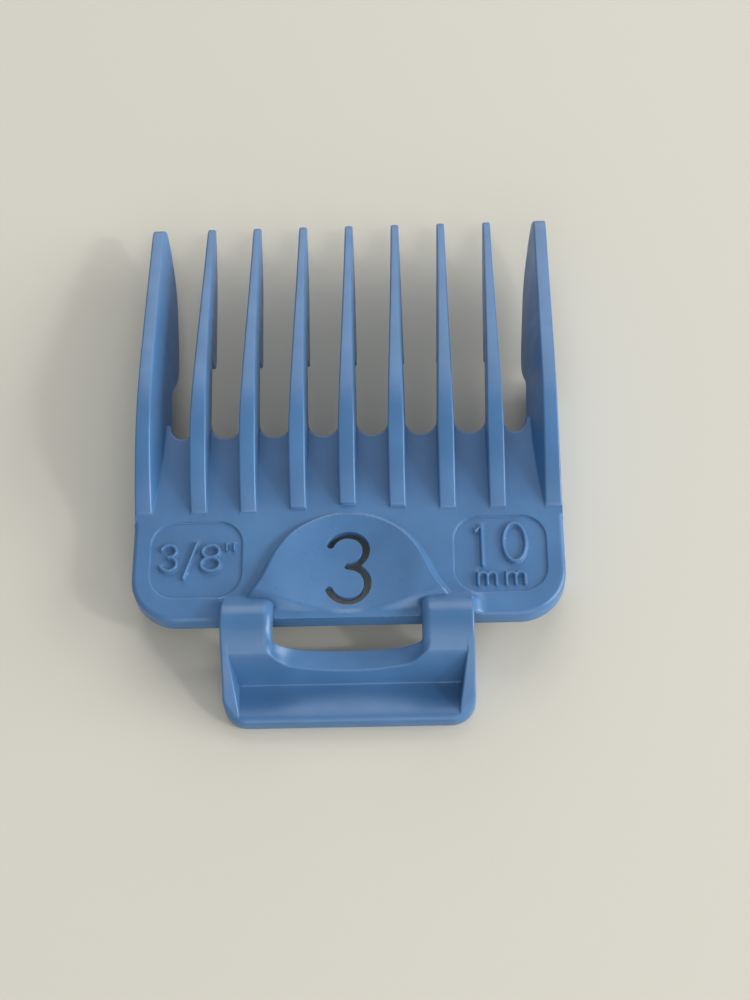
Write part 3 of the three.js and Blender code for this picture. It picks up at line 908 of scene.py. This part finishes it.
class GUARD_OT_pad(bpy.types.Operator):
    """Make the dished pad with the number cut through it"""

    bl_idname = "guard.pad"
    bl_label = "Number pad"

    def execute(self, context):
        mould = sizes_of(context)
        outline = pad_outline()
        number = number_loop(mould.number_width)
        rim = pad_rim(outline)
        fine = [grid(np.arange(-12.6, 12.7, 0.4), np.arange(-13.4, 0.0, 0.4))]
        turns = np.radians(np.arange(15, 91, 12.5))
        lines = [inset(rim, PAD_EDGE * (1 - math.cos(turn))) for turn in turns]
        xs = np.arange(-ARM_INNER, ARM_INNER + 0.01, 0.25)
        step, reach = pad_step(xs)
        lines += [np.stack([xs, step + part * reach], 1) for part in np.linspace(-0.45, 0.65, 12)]
        rear = chain([(-ARM_INNER, PLATE_REAR), (ARM_INNER, PLATE_REAR)], step=0.6)
        piece = moulded(
            "number_pad", [outline, number], pad_height(rim), level(PAD_SEAT),
            [*fine, lines], [], [Edge(number, NUMBER_EDGE, True), Edge(rear, PAD_REAR_EDGE)],
        )
        place_piece(piece, "guard_body", "number_boss", polished=True)
        return {"FINISHED"}


# ---- Badges


def oval(centre, reach):
    """A whole oval, with its last point on its first."""
    return arc(centre, reach, 0, 360, 40)


def eight_lines(*box):
    """Centre lines of an 8 that fills a box."""
    top, upper, bottom, lower = bowls(*box)
    return [oval(top, (upper[0] * 0.9, upper[1])), oval(bottom, lower)]


def m_lines(left, rear, width, height, line):
    """Centre lines of an m that fills a box."""
    bend = (width - line) / 4
    first, foot, head = left + line / 2, rear + line / 2, rear + height - line / 2
    tops = (head, head - bend, head - bend)
    legs = [[(first + 2 * k * bend, foot), (first + 2 * k * bend, tops[k])] for k in range(3)]
    bows = [arc((first + k * bend, head - bend), bend, 180, 0, 12) for k in (1, 3)]
    return [chain(leg, step=0.3) for leg in legs] + bows


def badge_lines(side, line):
    """Centre lines of a badge's characters, with how wide each stroke is as a share."""
    low, high = BADGES[side]
    wide, deep = (high - low)[:2]

    def box(x, y, width, height):
        return low[0] + x * wide, low[1] + y * deep, width * wide, height * deep

    def upright(x, foot, head):
        return chain([(x, foot), (x, head)], step=0.3)

    if side < 0:
        three = three_lines(*box(0.09, 0.33, 0.22, 0.38), line)
        eight = eight_lines(*box(0.535, 0.32, 0.245, 0.38), line)
        left, rear, width, height = box(0.37, 0.26, 0.135, 0.455)
        slash = chain([(left, rear), (left + width, rear + height)], step=0.3)
        left, rear, width, height = box(0.82, 0.59, 0.1, 0.115)
        places = (left + 0.1, left + width - 0.1)
        marks = [upright(x, rear + 0.25, rear + height - 0.1) for x in places]
        groups = ((three, 1.0), ([slash], 0.9), (eight, 1.0), (marks, 0.72))
    else:
        left, rear, width, height = box(0.22, 0.355, 0.11, 0.535)
        stem, head = left + width - line / 2, rear + height - line / 2
        flag = chain([(left + line / 2, head - width * 0.6), (stem, head)])
        one = [upright(stem, rear, head), flag]
        left, rear, width, height = box(0.515, 0.365, 0.285, 0.545)
        middle = (left + width / 2, rear + height / 2)
        zero = oval(middle, ((width - line) / 2, (height - line) / 2))
        letters = m_lines(*box(0.235, 0.08, 0.235, 0.19), line)
        letters += m_lines(*box(0.535, 0.08, 0.24, 0.19), line)
        groups = ((one, 1.0), ([zero], 1.0), (letters, 0.85))
    return [(row, fit) for rows, fit in groups for row in rows]


class GUARD_OT_badges(bpy.types.Operator):
    """Make the two let-in badges with their raised size figures"""

    bl_idname = "guard.badges"
    bl_label = "Size badges"

    def execute(self, context):
        mould = sizes_of(context)
        floor, width = PLATE_TOP - mould.badge_drop, mould.letter_width
        rise = mould.badge_drop + mould.letter_rise
        for side, name in SIDES:
            lines = badge_lines(side, LETTER_LINE)

            def height(points, lines=lines, side=side):
                gap = np.min([nearest(points, line) / fit for line, fit in lines], axis=0)
                across = np.clip(gap / (0.5 * width), 0.0, 1.0)
                ridge = rise * np.sqrt(1 - across**2.6)
                foot = 0.07 * np.clip(1 - (gap - 0.5 * width) / 0.1, 0.0, 1.0) ** 2
                edge = 0.1 * np.clip(1 - badge_depth(points, side) / 0.12, 0.0, 1.0) ** 2
                return floor + soft_max(np.maximum(ridge, 0.0), foot, 0.03) + edge

            rims = [looped(badge_outline(side, s)) for s in (0.06, 0.1, 0.15, 0.3)]
            strokes = []
            for line, fit in lines:
                half = 0.5 * width * fit
                for reach in (0.0, 0.3, 0.55, 0.75, 0.88, 0.96, 1.0, 1.15, 1.45):
                    hands = (-1, 1) if reach else (1,)
                    strokes += [inset(line, hand * reach * half) for hand in hands]
                for at, way in ((line[0], line[0] - line[1]), (line[-1], line[-1] - line[-2])):
                    for reach in (0.3, 0.6, 0.85, 1.0, 1.3):
                        strokes.append(half_turn(at, way, reach * half))
            spread = grid(np.arange(-24, 24.1, 0.5), np.arange(-11, 0, 0.5))
            piece = moulded(
                "inch_badge" if side < 0 else "metric_badge", [badge_outline(side, -BADGE_LAP)],
                height, level(BADGE_UNDER), [spread, np.concatenate(strokes), rims],
            )
            place_piece(piece, "guard_body", f"{name}_size_badge")
        return {"FINISHED"}


# ---- Teeth and rails

TOOTH_SPREAD = [grid(np.arange(0.5, 41.0, 0.8), np.arange(3.0, 10.6, 0.8))]
FOOT_EDGE = 0.15
RAIL_OUTER_EDGE = 0.35
RAIL_INNER_EDGE = 0.2
HOOK_REAR = 21.2
SIDE_HOOK_REAR = 19.1
BELLY_TOP = 4.1


def tooth_edges(back, outline, hook, mould):
    """The rounded edges of a tooth: along its back, and under it from its hook to its belly."""
    belly = chain(outline[(outline[:, 0] > hook) & (outline[:, 1] < BELLY_TOP)])
    return [Edge(back, mould.tooth_edge), Edge(belly, FOOT_EDGE)]


class GUARD_OT_teeth(bpy.types.Operator):
    """Make the seven inner teeth"""

    bl_idname = "guard.teeth"
    bl_label = "Inner teeth"

    def execute(self, context):
        mould = sizes_of(context)
        for index, centre in enumerate(TOOTH_CENTRES):
            root = tooth_root(index)
            back, outline = tooth_outline(root)
            top = back_height(root)

            def right(points, centre=centre, top=top):
                return centre + tooth_half(*points.T, top)

            def left(points, centre=centre, top=top):
                return centre - tooth_half(*points.T, top)

            edges = tooth_edges(back, outline, HOOK_REAR, mould)
            piece = moulded(
                f"comb_tooth_{index + 1}", [outline], right, left,
                TOOTH_SPREAD, TOOTH_SPREAD, edges, edges, side_plan,
            )
            place_piece(piece, "guard_body", f"tooth_{index + 1}")
        return {"FINISHED"}


class GUARD_OT_side_teeth(bpy.types.Operator):
    """Make the two wide side teeth, whose inner faces lean in to a broad foot"""

    bl_idname = "guard.side_teeth"
    bl_label = "Side teeth"

    def execute(self, context):
        mould = sizes_of(context)
        back, outline = tooth_outline(0.0, True)

        def inner(points):
            return side_tooth_inner(*points.T)

        def outer(points):
            return HALF_WIDTH - SIDE_OUTER_DRAFT * np.maximum(0.0, points[:, 1] - PLATE_TOP)

        edges = tooth_edges(back, outline, SIDE_HOOK_REAR, mould)
        for side, name in SIDES:
            high, low = (outer, inner) if side > 0 else (lambda p: -inner(p), lambda p: -outer(p))
            piece = moulded(
                f"{name}_comb_side", [outline], high, low,
                TOOTH_SPREAD, TOOTH_SPREAD, edges, edges, side_plan,
            )
            place_piece(piece, "guard_body", f"{name}_side_tooth")
        return {"FINISHED"}


class GUARD_OT_rails(bpy.types.Operator):
    """Make the two rails that hold the blade sideways"""

    bl_idname = "guard.rails"
    bl_label = "Blade rails"

    def execute(self, context):
        rear, front, lead, heel = RAIL_REAR, RAIL_FRONT, 3.4, 0.8
        sweep = [(front - lead, 0.0), (front - 1.2, 0.0), (front, 1.2), (front, lead)]
        foot = chain(arc((rear + heel, heel), heel, 180, 270, 6), bezier(sweep, 12), step=0.8)
        seat = [(CLEAR_FRONT, PLATE_SEAT), (rear, PLATE_SEAT)]
        outline = closed(foot, SIDE_UNDER[::-1], seat, step=0.8)
        outer_edge, inner_edge = [Edge(foot, RAIL_OUTER_EDGE)], [Edge(foot, RAIL_INNER_EDGE)]
        for side, name in SIDES:
            inner, outer = side * RAIL_INNER, side * HALF_WIDTH
            edges = (outer_edge, inner_edge) if side > 0 else (inner_edge, outer_edge)
            piece = moulded(
                f"{name}_rail", [outline],
                level(max(inner, outer)), level(min(inner, outer)), [], [], *edges, side_plan,
            )
            place_piece(piece, "guard_body", f"{name}_blade_rail")
        return {"FINISHED"}


# ---- Clip

TAB_CORNER = 2.8
END_EDGE = 0.75
FOOT_ROUND = 0.3
STRAP_THICKNESS = 1.8
TRAY_LOW = 0.92
RIM_SHIFTS = (-0.28, -0.2, -0.12, -0.06, -0.02, 0.0, 0.03, 0.07, 0.12, 0.18, 0.25, 0.34, 0.6, 0.9)
BEND_STEPS = np.array([0.015, 0.05, 0.1, 0.17, 0.26, 0.38, 0.52, 0.7, 0.88, 1.1])
BEND_DEPTHS = (0.02, 0.06, 0.13, 0.24, 0.3, 0.38, 0.55, 0.78, 1.0)
SEAM_Y = WALL_FOOT - 0.25
LIP_Y = TAB_END + 1.5
CATCH_EDGE = 0.25
RIM_EDGE = 0.25
RIM_STEEPNESS = 9.0
# How far in front of the plate's rear and of the bar's front two points along each arm are put; the
# points are worked out but nothing uses them.
BLEND_LEAD = 0.5
# Where a stretch of the clip's skin sets in, and over what length.
SWEEP_SPAN = (-16.45, 1.3)
RIM_SPAN = (-16.5, 0.5)
RIM_TOP_SPAN = (-17.2, 1.6)
END_SPAN = (-21.5, 2.0)
# How softly one face of the clip's skin goes over to the next.
SWEEP_BLEND = 0.7
WALL_TOP_BLEND = 0.45
WALL_FOOT_BLEND = 0.5
RIM_FOOT_BLEND = 0.12


def arm_back(y):
    """Height of an arm's top from the ramp on the plate back over the crest."""
    front = (PLATE_REAR - 0.3, ARM_TOP)
    line = bezier([front, (-15.85, ARM_TOP), (-16.87, 7.17), (CREST_Y, CREST_Z), (-18.9, 5.13)], 40)
    over = np.interp(-y, -line[:, 0], line[:, 1])
    ramp = PLATE_TOP + (RAMP_FOOT - y)
    return soft_min(over, ramp, 1.1)


def wall_back(y):
    """Height of the wall's sloping rear face."""
    slope = (CREST_Z - TRAY_LOW) / (CREST_Y - WALL_FOOT)
    return TRAY_LOW + (y - WALL_FOOT) * slope


def tray_floor(y):
    """The thumb tray's floor, rising gently to the tab's end."""
    return TRAY_LOW + (TAB_TOP - TRAY_LOW) * onset(y, WALL_FOOT, 4.6)


def rim_top(y):
    """Top of a rim: it carries the arm's line on down to the tab's end."""
    ys = (-24.4, -23.6, -22.9, -21.9, -20.95, -20.05, -19.1)
    return np.polyval(np.polyfit(ys, (1.5, 2.05, 2.5, 3.0, 3.6, 4.35, 5.1), 3), y)


def notch(points):
    """The notch between the arms: a shallow trough that sweeps up into each arm."""
    across = np.abs(points[:, 0])
    trough = BAR_TOP - 0.08 + 0.02 * across**2
    return trough, trough + 0.112 * np.maximum(across - 6.0, 0.0) ** 2.6


def onset(y, start, reach):
    """0 in front of the start, then rising to 1 over a stretch that runs to the rear."""
    return smooth_step((start - y) / reach)


def rim_inner(y):
    """Where a rim's inner face stands: the rims are a little thicker at the tab's end."""
    return np.interp(y, [-23.2, -18.0], [12.4, 13.33])


def tray_side(y):
    """Where the tray's skin ends and a rim's begins."""
    return rim_inner(y) - 0.3


def tab_depth(points):
    """Distance in from the tab's outline, which has two round corners."""
    across = np.abs(points[:, 0]) - (ARM_OUTER - TAB_CORNER)
    along = (TAB_END + TAB_CORNER) - points[:, 1]
    both = TAB_CORNER - np.hypot(np.maximum(across, 0.0), np.maximum(along, 0.0))
    return np.where((across > 0) & (along > 0), both, TAB_CORNER - np.maximum(across, along))


def clip_top(mould):
    """The whole upper skin of the clip: arms, notch, wall, tray, rims and end lip."""
    inner_edge, outer_edge = mould.arm_inner_edge, mould.arm_outer_edge

    def height(points):
        x, y = np.abs(points[:, 0]), points[:, 1]
        back = arm_back(y)
        into = x - ARM_INNER
        trough, sweep = notch(points)
        bend = np.maximum(back - trough - inner_edge, 0.3)
        aside = np.clip(1 + into / 3.0, 0.0, 1.0)
        hollow = trough + bend * (1 - np.sqrt(1 - aside**2))
        front = np.where(into < 0, hollow, back - drop(into, inner_edge))
        skin = front + (soft_min(sweep, back, SWEEP_BLEND) - front) * onset(y, *SWEEP_SPAN)
        skin = soft_min(skin, wall_back(y), WALL_TOP_BLEND)
        skin = soft_max(skin, tray_floor(y), WALL_FOOT_BLEND)
        aside = x - rim_inner(y)
        top = back + (rim_top(y) - back) * onset(y, *RIM_TOP_SPAN)
        face = top - RIM_EDGE + RIM_STEEPNESS * aside
        rim = np.where(aside > 0, top - drop(aside, RIM_EDGE), face)
        skin = skin + (soft_max(skin, rim, RIM_FOOT_BLEND) - skin) * onset(y, *RIM_SPAN)
        depth = tab_depth(points)
        end = onset(y, *END_SPAN)
        return skin - drop(depth, outer_edge + (END_EDGE - outer_edge) * end)

    return height


def arm_under(points):
    """Underside of an arm: on the plate, then along the strap, then down to the wall."""
    y = points[:, 1]
    strap = ARM_TOP - STRAP_THICKNESS
    step = onset(y, PLATE_REAR - 0.05, 0.5)
    line = bezier([(-14.6, strap), (-15.8, strap), (BAR_FRONT, strap - 0.5), (BAR_FRONT, 4.95)], 16)
    bend = np.interp(-y, -line[:, 0], line[:, 1])
    return np.minimum(PLATE_TOP - 0.4 + (strap - PLATE_TOP + 0.4) * step, bend)


def clip_foot(points):
    """Underside of the wall, the tray and the rims, with a rounded outer edge."""
    return drop(tab_depth(points), FOOT_ROUND)


def stations(*spans):
    """Stations along a line: each span is its start, its end and its step."""
    rows = [np.linspace(a, b, max(2, int(round(abs(b - a) / step)) + 1)) for a, b, step in spans]
    return np.unique(np.round(np.concatenate(rows), 4))


def patch(name, outline, mould, low, ys, xs, bends=()):
    """A piece of the clip's skin over a plan, down to its underside."""
    under = [grid(xs[::3], ys), list(bends)]
    return moulded(name, [outline], clip_top(mould), low, [grid(xs, ys)], under)


class GUARD_OT_arms(bpy.types.Operator):
    """Make the two sprung arms, which run between the plate and the clip"""

    bl_idname = "guard.arms"
    bl_label = "Sprung arms"

    def execute(self, context):
        mould = sizes_of(context)
        inner, outer, front = ARM_INNER, ARM_OUTER, RAMP_FOOT + 0.06
        middle = stations((9.8, 13.8, 0.5))
        xs = np.concatenate([inner + BEND_STEPS, middle, outer - BEND_STEPS[:8]])
        ys = stations((BAR_FRONT + 0.02, -13.6, 0.17), (-13.6, front - 0.05, 0.12))
        rear = [(inner, BAR_FRONT), (outer, BAR_FRONT)]
        right = closed(rear, [(outer, front), (inner, front)], step=0.17)
        ends = [y + BLEND_LEAD + ROOT_LINE for y in (PLATE_REAR, BAR_FRONT)]
        start, end = [(0.0, y / METRE, 0.0) for y in ends]
        for side, name in SIDES:
            outline = handed(right, side)
            piece = patch(f"{name}_arm", outline, mould, arm_under, ys, side * xs)
            place_piece(piece, None, f"{name}_arm_root", f"{name}_clip_arm")
            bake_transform(piece)
            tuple(start)
            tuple(end)
        return {"FINISHED"}


class GUARD_OT_wall(bpy.types.Operator):
    """Make the notched wall that hooks behind the blade's heel"""

    bl_idname = "guard.wall"
    bl_label = "Notched wall"

    def execute(self, context):
        mould = sizes_of(context)
        rim = tray_side(SEAM_Y)
        half = np.concatenate([
            stations((0.0, 5.0, 0.5), (5.0, 8.0, 0.2)),
            ARM_INNER - BEND_STEPS[:6], ARM_INNER + BEND_STEPS,
            stations((9.8, 12.4, 0.4), (12.4, 14.2, 0.1)), ARM_OUTER - BEND_STEPS[:4],
        ])
        xs = np.unique(np.concatenate([-half, half]))
        ys = stations((SEAM_Y + 0.01, CREST_Y + 0.6, 0.07), (CREST_Y + 0.6, BAR_FRONT - 0.02, 0.16))
        right = [(rim, SEAM_Y), (rim, CREST_Y), (ARM_OUTER, CREST_Y), (ARM_OUTER, BAR_FRONT)]
        slot = [(ARM_INNER, BAR_FRONT), (-ARM_INNER, BAR_FRONT)]
        left = [(-x, y) for x, y in right[::-1]]
        outline = closed(left[-1:], right, slot, left[:-1], step=0.12)
        piece = patch("clip_wall", outline, mould, clip_foot, ys, xs)
        place_piece(piece, "clip", "catch_bar")
        return {"FINISHED"}


class GUARD_OT_catch(bpy.types.Operator):
    """Make the small lip that catches under the blade's heel"""

    bl_idname = "guard.catch"
    bl_label = "Catch lip"

    def execute(self, context):
        low, high = corners("catch_lip")
        rear, foot, top = BAR_FRONT - 0.3, low[2], high[2]
        beak = [(BAR_FRONT, foot), (high[1], foot + 0.1), (high[1] + 0.02, 1.2), (BAR_FRONT, top)]
        outline = closed([(rear, foot)], bezier(beak, 14), [(rear, top)], step=0.4)
        edges = [Edge(chain(outline[outline[:, 0] > BAR_FRONT - 0.05]), CATCH_EDGE)]
        piece = moulded(
            "heel_catch", [outline], level(high[0]), level(low[0]),
            [], [], edges, edges, side_plan,
        )
        place_piece(piece, "clip", "catch_lip")
        return {"FINISHED"}


class GUARD_OT_tray(bpy.types.Operator):
    """Make the floor of the thumb tab"""

    bl_idname = "guard.tray"
    bl_label = "Thumb tray"

    def execute(self, context):
        mould = sizes_of(context)
        front, rear = tray_side(SEAM_Y), tray_side(LIP_Y)
        ys = stations((LIP_Y + 0.02, SEAM_Y - 0.02, 0.2))
        corners_at = [(-rear, LIP_Y), (rear, LIP_Y), (front, SEAM_Y), (-front, SEAM_Y)]
        outline = closed(corners_at, step=0.2)
        xs = stations((-12.9, -11.4, 0.12), (-11.4, 11.4, 0.6), (11.4, 12.9, 0.12))
        piece = patch("thumb_floor", outline, mould, clip_foot, ys, xs)
        place_piece(piece, "clip", "thumb_tray")
        return {"FINISHED"}


class GUARD_OT_rims(bpy.types.Operator):
    """Make the two rims at the sides of the thumb tab"""

    bl_idname = "guard.rims"
    bl_label = "Tab rims"

    def execute(self, context):
        mould = sizes_of(context)
        inner, front, rear = ARM_OUTER - TAB_CORNER, tray_side(SEAM_Y), tray_side(LIP_Y)
        ys = stations(
            (TAB_END + 0.02, TAB_END + 1.0, 0.07), (TAB_END + 1.0, -19.0, 0.15),
            (-19.0, CREST_Y - 0.02, 0.08),
        )

        def bend(depth):
            """The rim's outer side, round the tab's corner, at a depth in from it."""
            turn = arc((inner, TAB_END + TAB_CORNER), TAB_CORNER - depth, -90, 0, 20)
            return chain(turn, [(ARM_OUTER - depth, CREST_Y)], step=0.3)

        corner = arc((inner, TAB_END + TAB_CORNER), TAB_CORNER, -90, 0, 20)
        seam = [(front, CREST_Y), (front, SEAM_Y), (rear, LIP_Y), (inner, LIP_Y)]
        right = closed(seam, corner, [(ARM_OUTER, CREST_Y)], step=0.15)
        for side, name in SIDES:
            outline = handed(right, side)
            rows = [np.stack([side * (rim_inner(ys) + shift), ys], 1) for shift in RIM_SHIFTS]
            bends = [bend(depth) * (side, 1) for depth in BEND_DEPTHS]
            fine = [rows + bends, grid(side * np.arange(11.6, 14.0, 0.3), ys[::2])]
            piece = moulded(
                f"{name}_rim", [outline], clip_top(mould), clip_foot, fine,
                [grid(side * np.arange(11.6, 13.8, 0.4), ys[::3]), bends],
            )
            place_piece(piece, "clip", f"{name}_tab_rim")
        return {"FINISHED"}


class GUARD_OT_lip(bpy.types.Operator):
    """Make the rounded end of the thumb tab"""

    bl_idname = "guard.lip"
    bl_label = "Tab end"

    def execute(self, context):
        mould = sizes_of(context)
        half = ARM_OUTER - TAB_CORNER
        inward = stations((TAB_END + 1.0, LIP_Y - 0.02, 0.15))
        ys = np.concatenate([TAB_END + BEND_STEPS[:8], [TAB_END + 0.9], inward])
        rear = [(-half, TAB_END), (half, TAB_END)]
        outline = closed(rear, [(half, LIP_Y), (-half, LIP_Y)], step=0.2)
        bends = [chain([(-half, TAB_END + d), (half, TAB_END + d)], step=0.3) for d in BEND_DEPTHS]
        piece = patch("tab_end", outline, mould, clip_foot, ys, stations((-half, half, 0.5)), bends)
        place_piece(piece, "clip", "tab_end_lip")
        return {"FINISHED"}


# ---- Stage

FLOOR_REACH = 3.0
FLOOR_LEVEL = -0.00002
AIM = Vector((0.0, 0.0, 0.004))
CAMERA_PLACE = Vector((0.01022, -0.10391, 0.19201))
CAMERA_RIGHT = Vector((0.99917, -0.00477, -0.04035))
CAMERA_UP = Vector((0.02285, 0.88715, 0.46092))
AIR_COLOUR = (0.97, 0.98, 1.0, 1.0)
WINDOW = (0.919, -0.381, 0.671)
# Each lamp's name, its offset from the aim, its size and its power.
LAMPS = (
    ("window_lamp", WINDOW, 0.1, 2.6),
    ("curtain_lamp", WINDOW, 0.5, 2.2),
    ("right_lamp", (1.3, 0.0, 0.3), 1.0, 18.8),
    ("front_lamp", (0.1, -1.2, 0.34), 1.0, 3.9),
    ("table_lamp", (0.1, -1.1, 0.9), 1.2, 4.2),
    ("back_lamp", (0.1, 1.2, 0.7), 1.2, 9.9),
)


def lamp(name, place, size, power):
    """A square soft lamp that faces the part."""
    data = bpy.data.lights.new(name, "AREA")
    data.size = size
    data.energy = power
    light = bpy.data.objects.new(name, data)
    light.location = place
    light.rotation_euler = (AIM - Vector(place)).to_track_quat("-Z", "Y").to_euler()
    bpy.context.scene.collection.objects.link(light)


def floor_finish(colour):
    """Pale painted board: even, with a trace of cloudiness."""
    made = Shading("pale_floor")
    cloud = {"Vector": made.place, "Scale": 9.0, "Detail": 4.0}
    deep, pale = (tuple(min(1.0, c * fit) for c in colour) for fit in (0.985, 1.015))
    made.fill(made.shader, {
        "Roughness": 0.62,
        "Specular IOR Level": 0.25,
        "Base Color": made.mixed(made.add("TexNoise", "Fac", cloud), deep, pale),
    })
    return made.material


class GUARD_OT_stage(bpy.types.Operator):
    """Make the pale floor, the soft lamps and the camera"""

    bl_idname = "guard.stage"
    bl_label = "Stage"

    def execute(self, context):
        scene = context.scene
        studio = scene.guard_studio
        mesh = bpy.data.meshes.new("floor")
        turns = ((-1, -1), (1, -1), (1, 1), (-1, 1))
        spots = [(x * FLOOR_REACH, y * FLOOR_REACH, FLOOR_LEVEL) for x, y in turns]
        mesh.from_pydata(spots, [], [(0, 1, 2, 3)])
        floor = bpy.data.objects.new("floor", mesh)
        floor.data.materials.append(floor_finish(studio.floor))
        scene.collection.objects.link(floor)

        for name, way, size, power in LAMPS:
            lamp(name, AIM + Vector(way), size, power * studio.lamps)

        world = bpy.data.worlds.new("studio_air")
        world.use_nodes = True
        air = world.node_tree.nodes["Background"]
        air.inputs["Color"].default_value = AIR_COLOUR
        air.inputs["Strength"].default_value = studio.sky
        scene.world = world

        data = bpy.data.cameras.new("camera")
        data.lens = studio.lens
        data.clip_start, data.clip_end = 0.005, 20.0
        camera = bpy.data.objects.new("camera", data)
        axes = Matrix((CAMERA_RIGHT, CAMERA_UP, CAMERA_RIGHT.cross(CAMERA_UP))).transposed()
        camera.matrix_world = Matrix.Translation(CAMERA_PLACE) @ axes.to_4x4()
        scene.collection.objects.link(camera)
        scene.camera = camera
        scene.view_settings.view_transform = "Standard"
        return {"FINISHED"}


# ---- Panel and run

MAKERS = (
    GUARD_OT_stage, GUARD_OT_plate, GUARD_OT_pad, GUARD_OT_badges, GUARD_OT_teeth,
    GUARD_OT_side_teeth, GUARD_OT_rails, GUARD_OT_arms, GUARD_OT_wall, GUARD_OT_catch,
    GUARD_OT_tray, GUARD_OT_rims, GUARD_OT_lip,
)
GROUPS = (
    ("guard_mould", GUARD_PG_mould),
    ("guard_plastic", GUARD_PG_plastic),
    ("guard_studio", GUARD_PG_studio),
)


class GUARD_PT_comb(bpy.types.Panel):
    """Sizes, colours and makers of the guard comb"""

    bl_idname = "GUARD_PT_comb"
    bl_label = "Guard comb"
    bl_space_type = "VIEW_3D"
    bl_region_type = "UI"
    bl_category = "Guard comb"

    def draw(self, context):
        for maker in MAKERS:
            self.layout.operator(maker.bl_idname)
        for holder, group in GROUPS:
            box = self.layout.box()
            for name in group.__annotations__:
                box.prop(getattr(context.scene, holder), name)


def register():
    for holder, group in GROUPS:
        bpy.utils.register_class(group)
        setattr(bpy.types.Scene, holder, bpy.props.PointerProperty(type=group))
    for cls in (*MAKERS, GUARD_PT_comb):
        bpy.utils.register_class(cls)


def unregister():
    for cls in (GUARD_PT_comb, *reversed(MAKERS)):
        bpy.utils.unregister_class(cls)
    for holder, group in reversed(GROUPS):
        delattr(bpy.types.Scene, holder)
        bpy.utils.unregister_class(group)


def main():
    """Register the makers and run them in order."""
    register()
    for maker in MAKERS:
        family, action = maker.bl_idname.split(".")
        getattr(getattr(bpy.ops, family), action)()


if __name__ == "__main__":
    main()
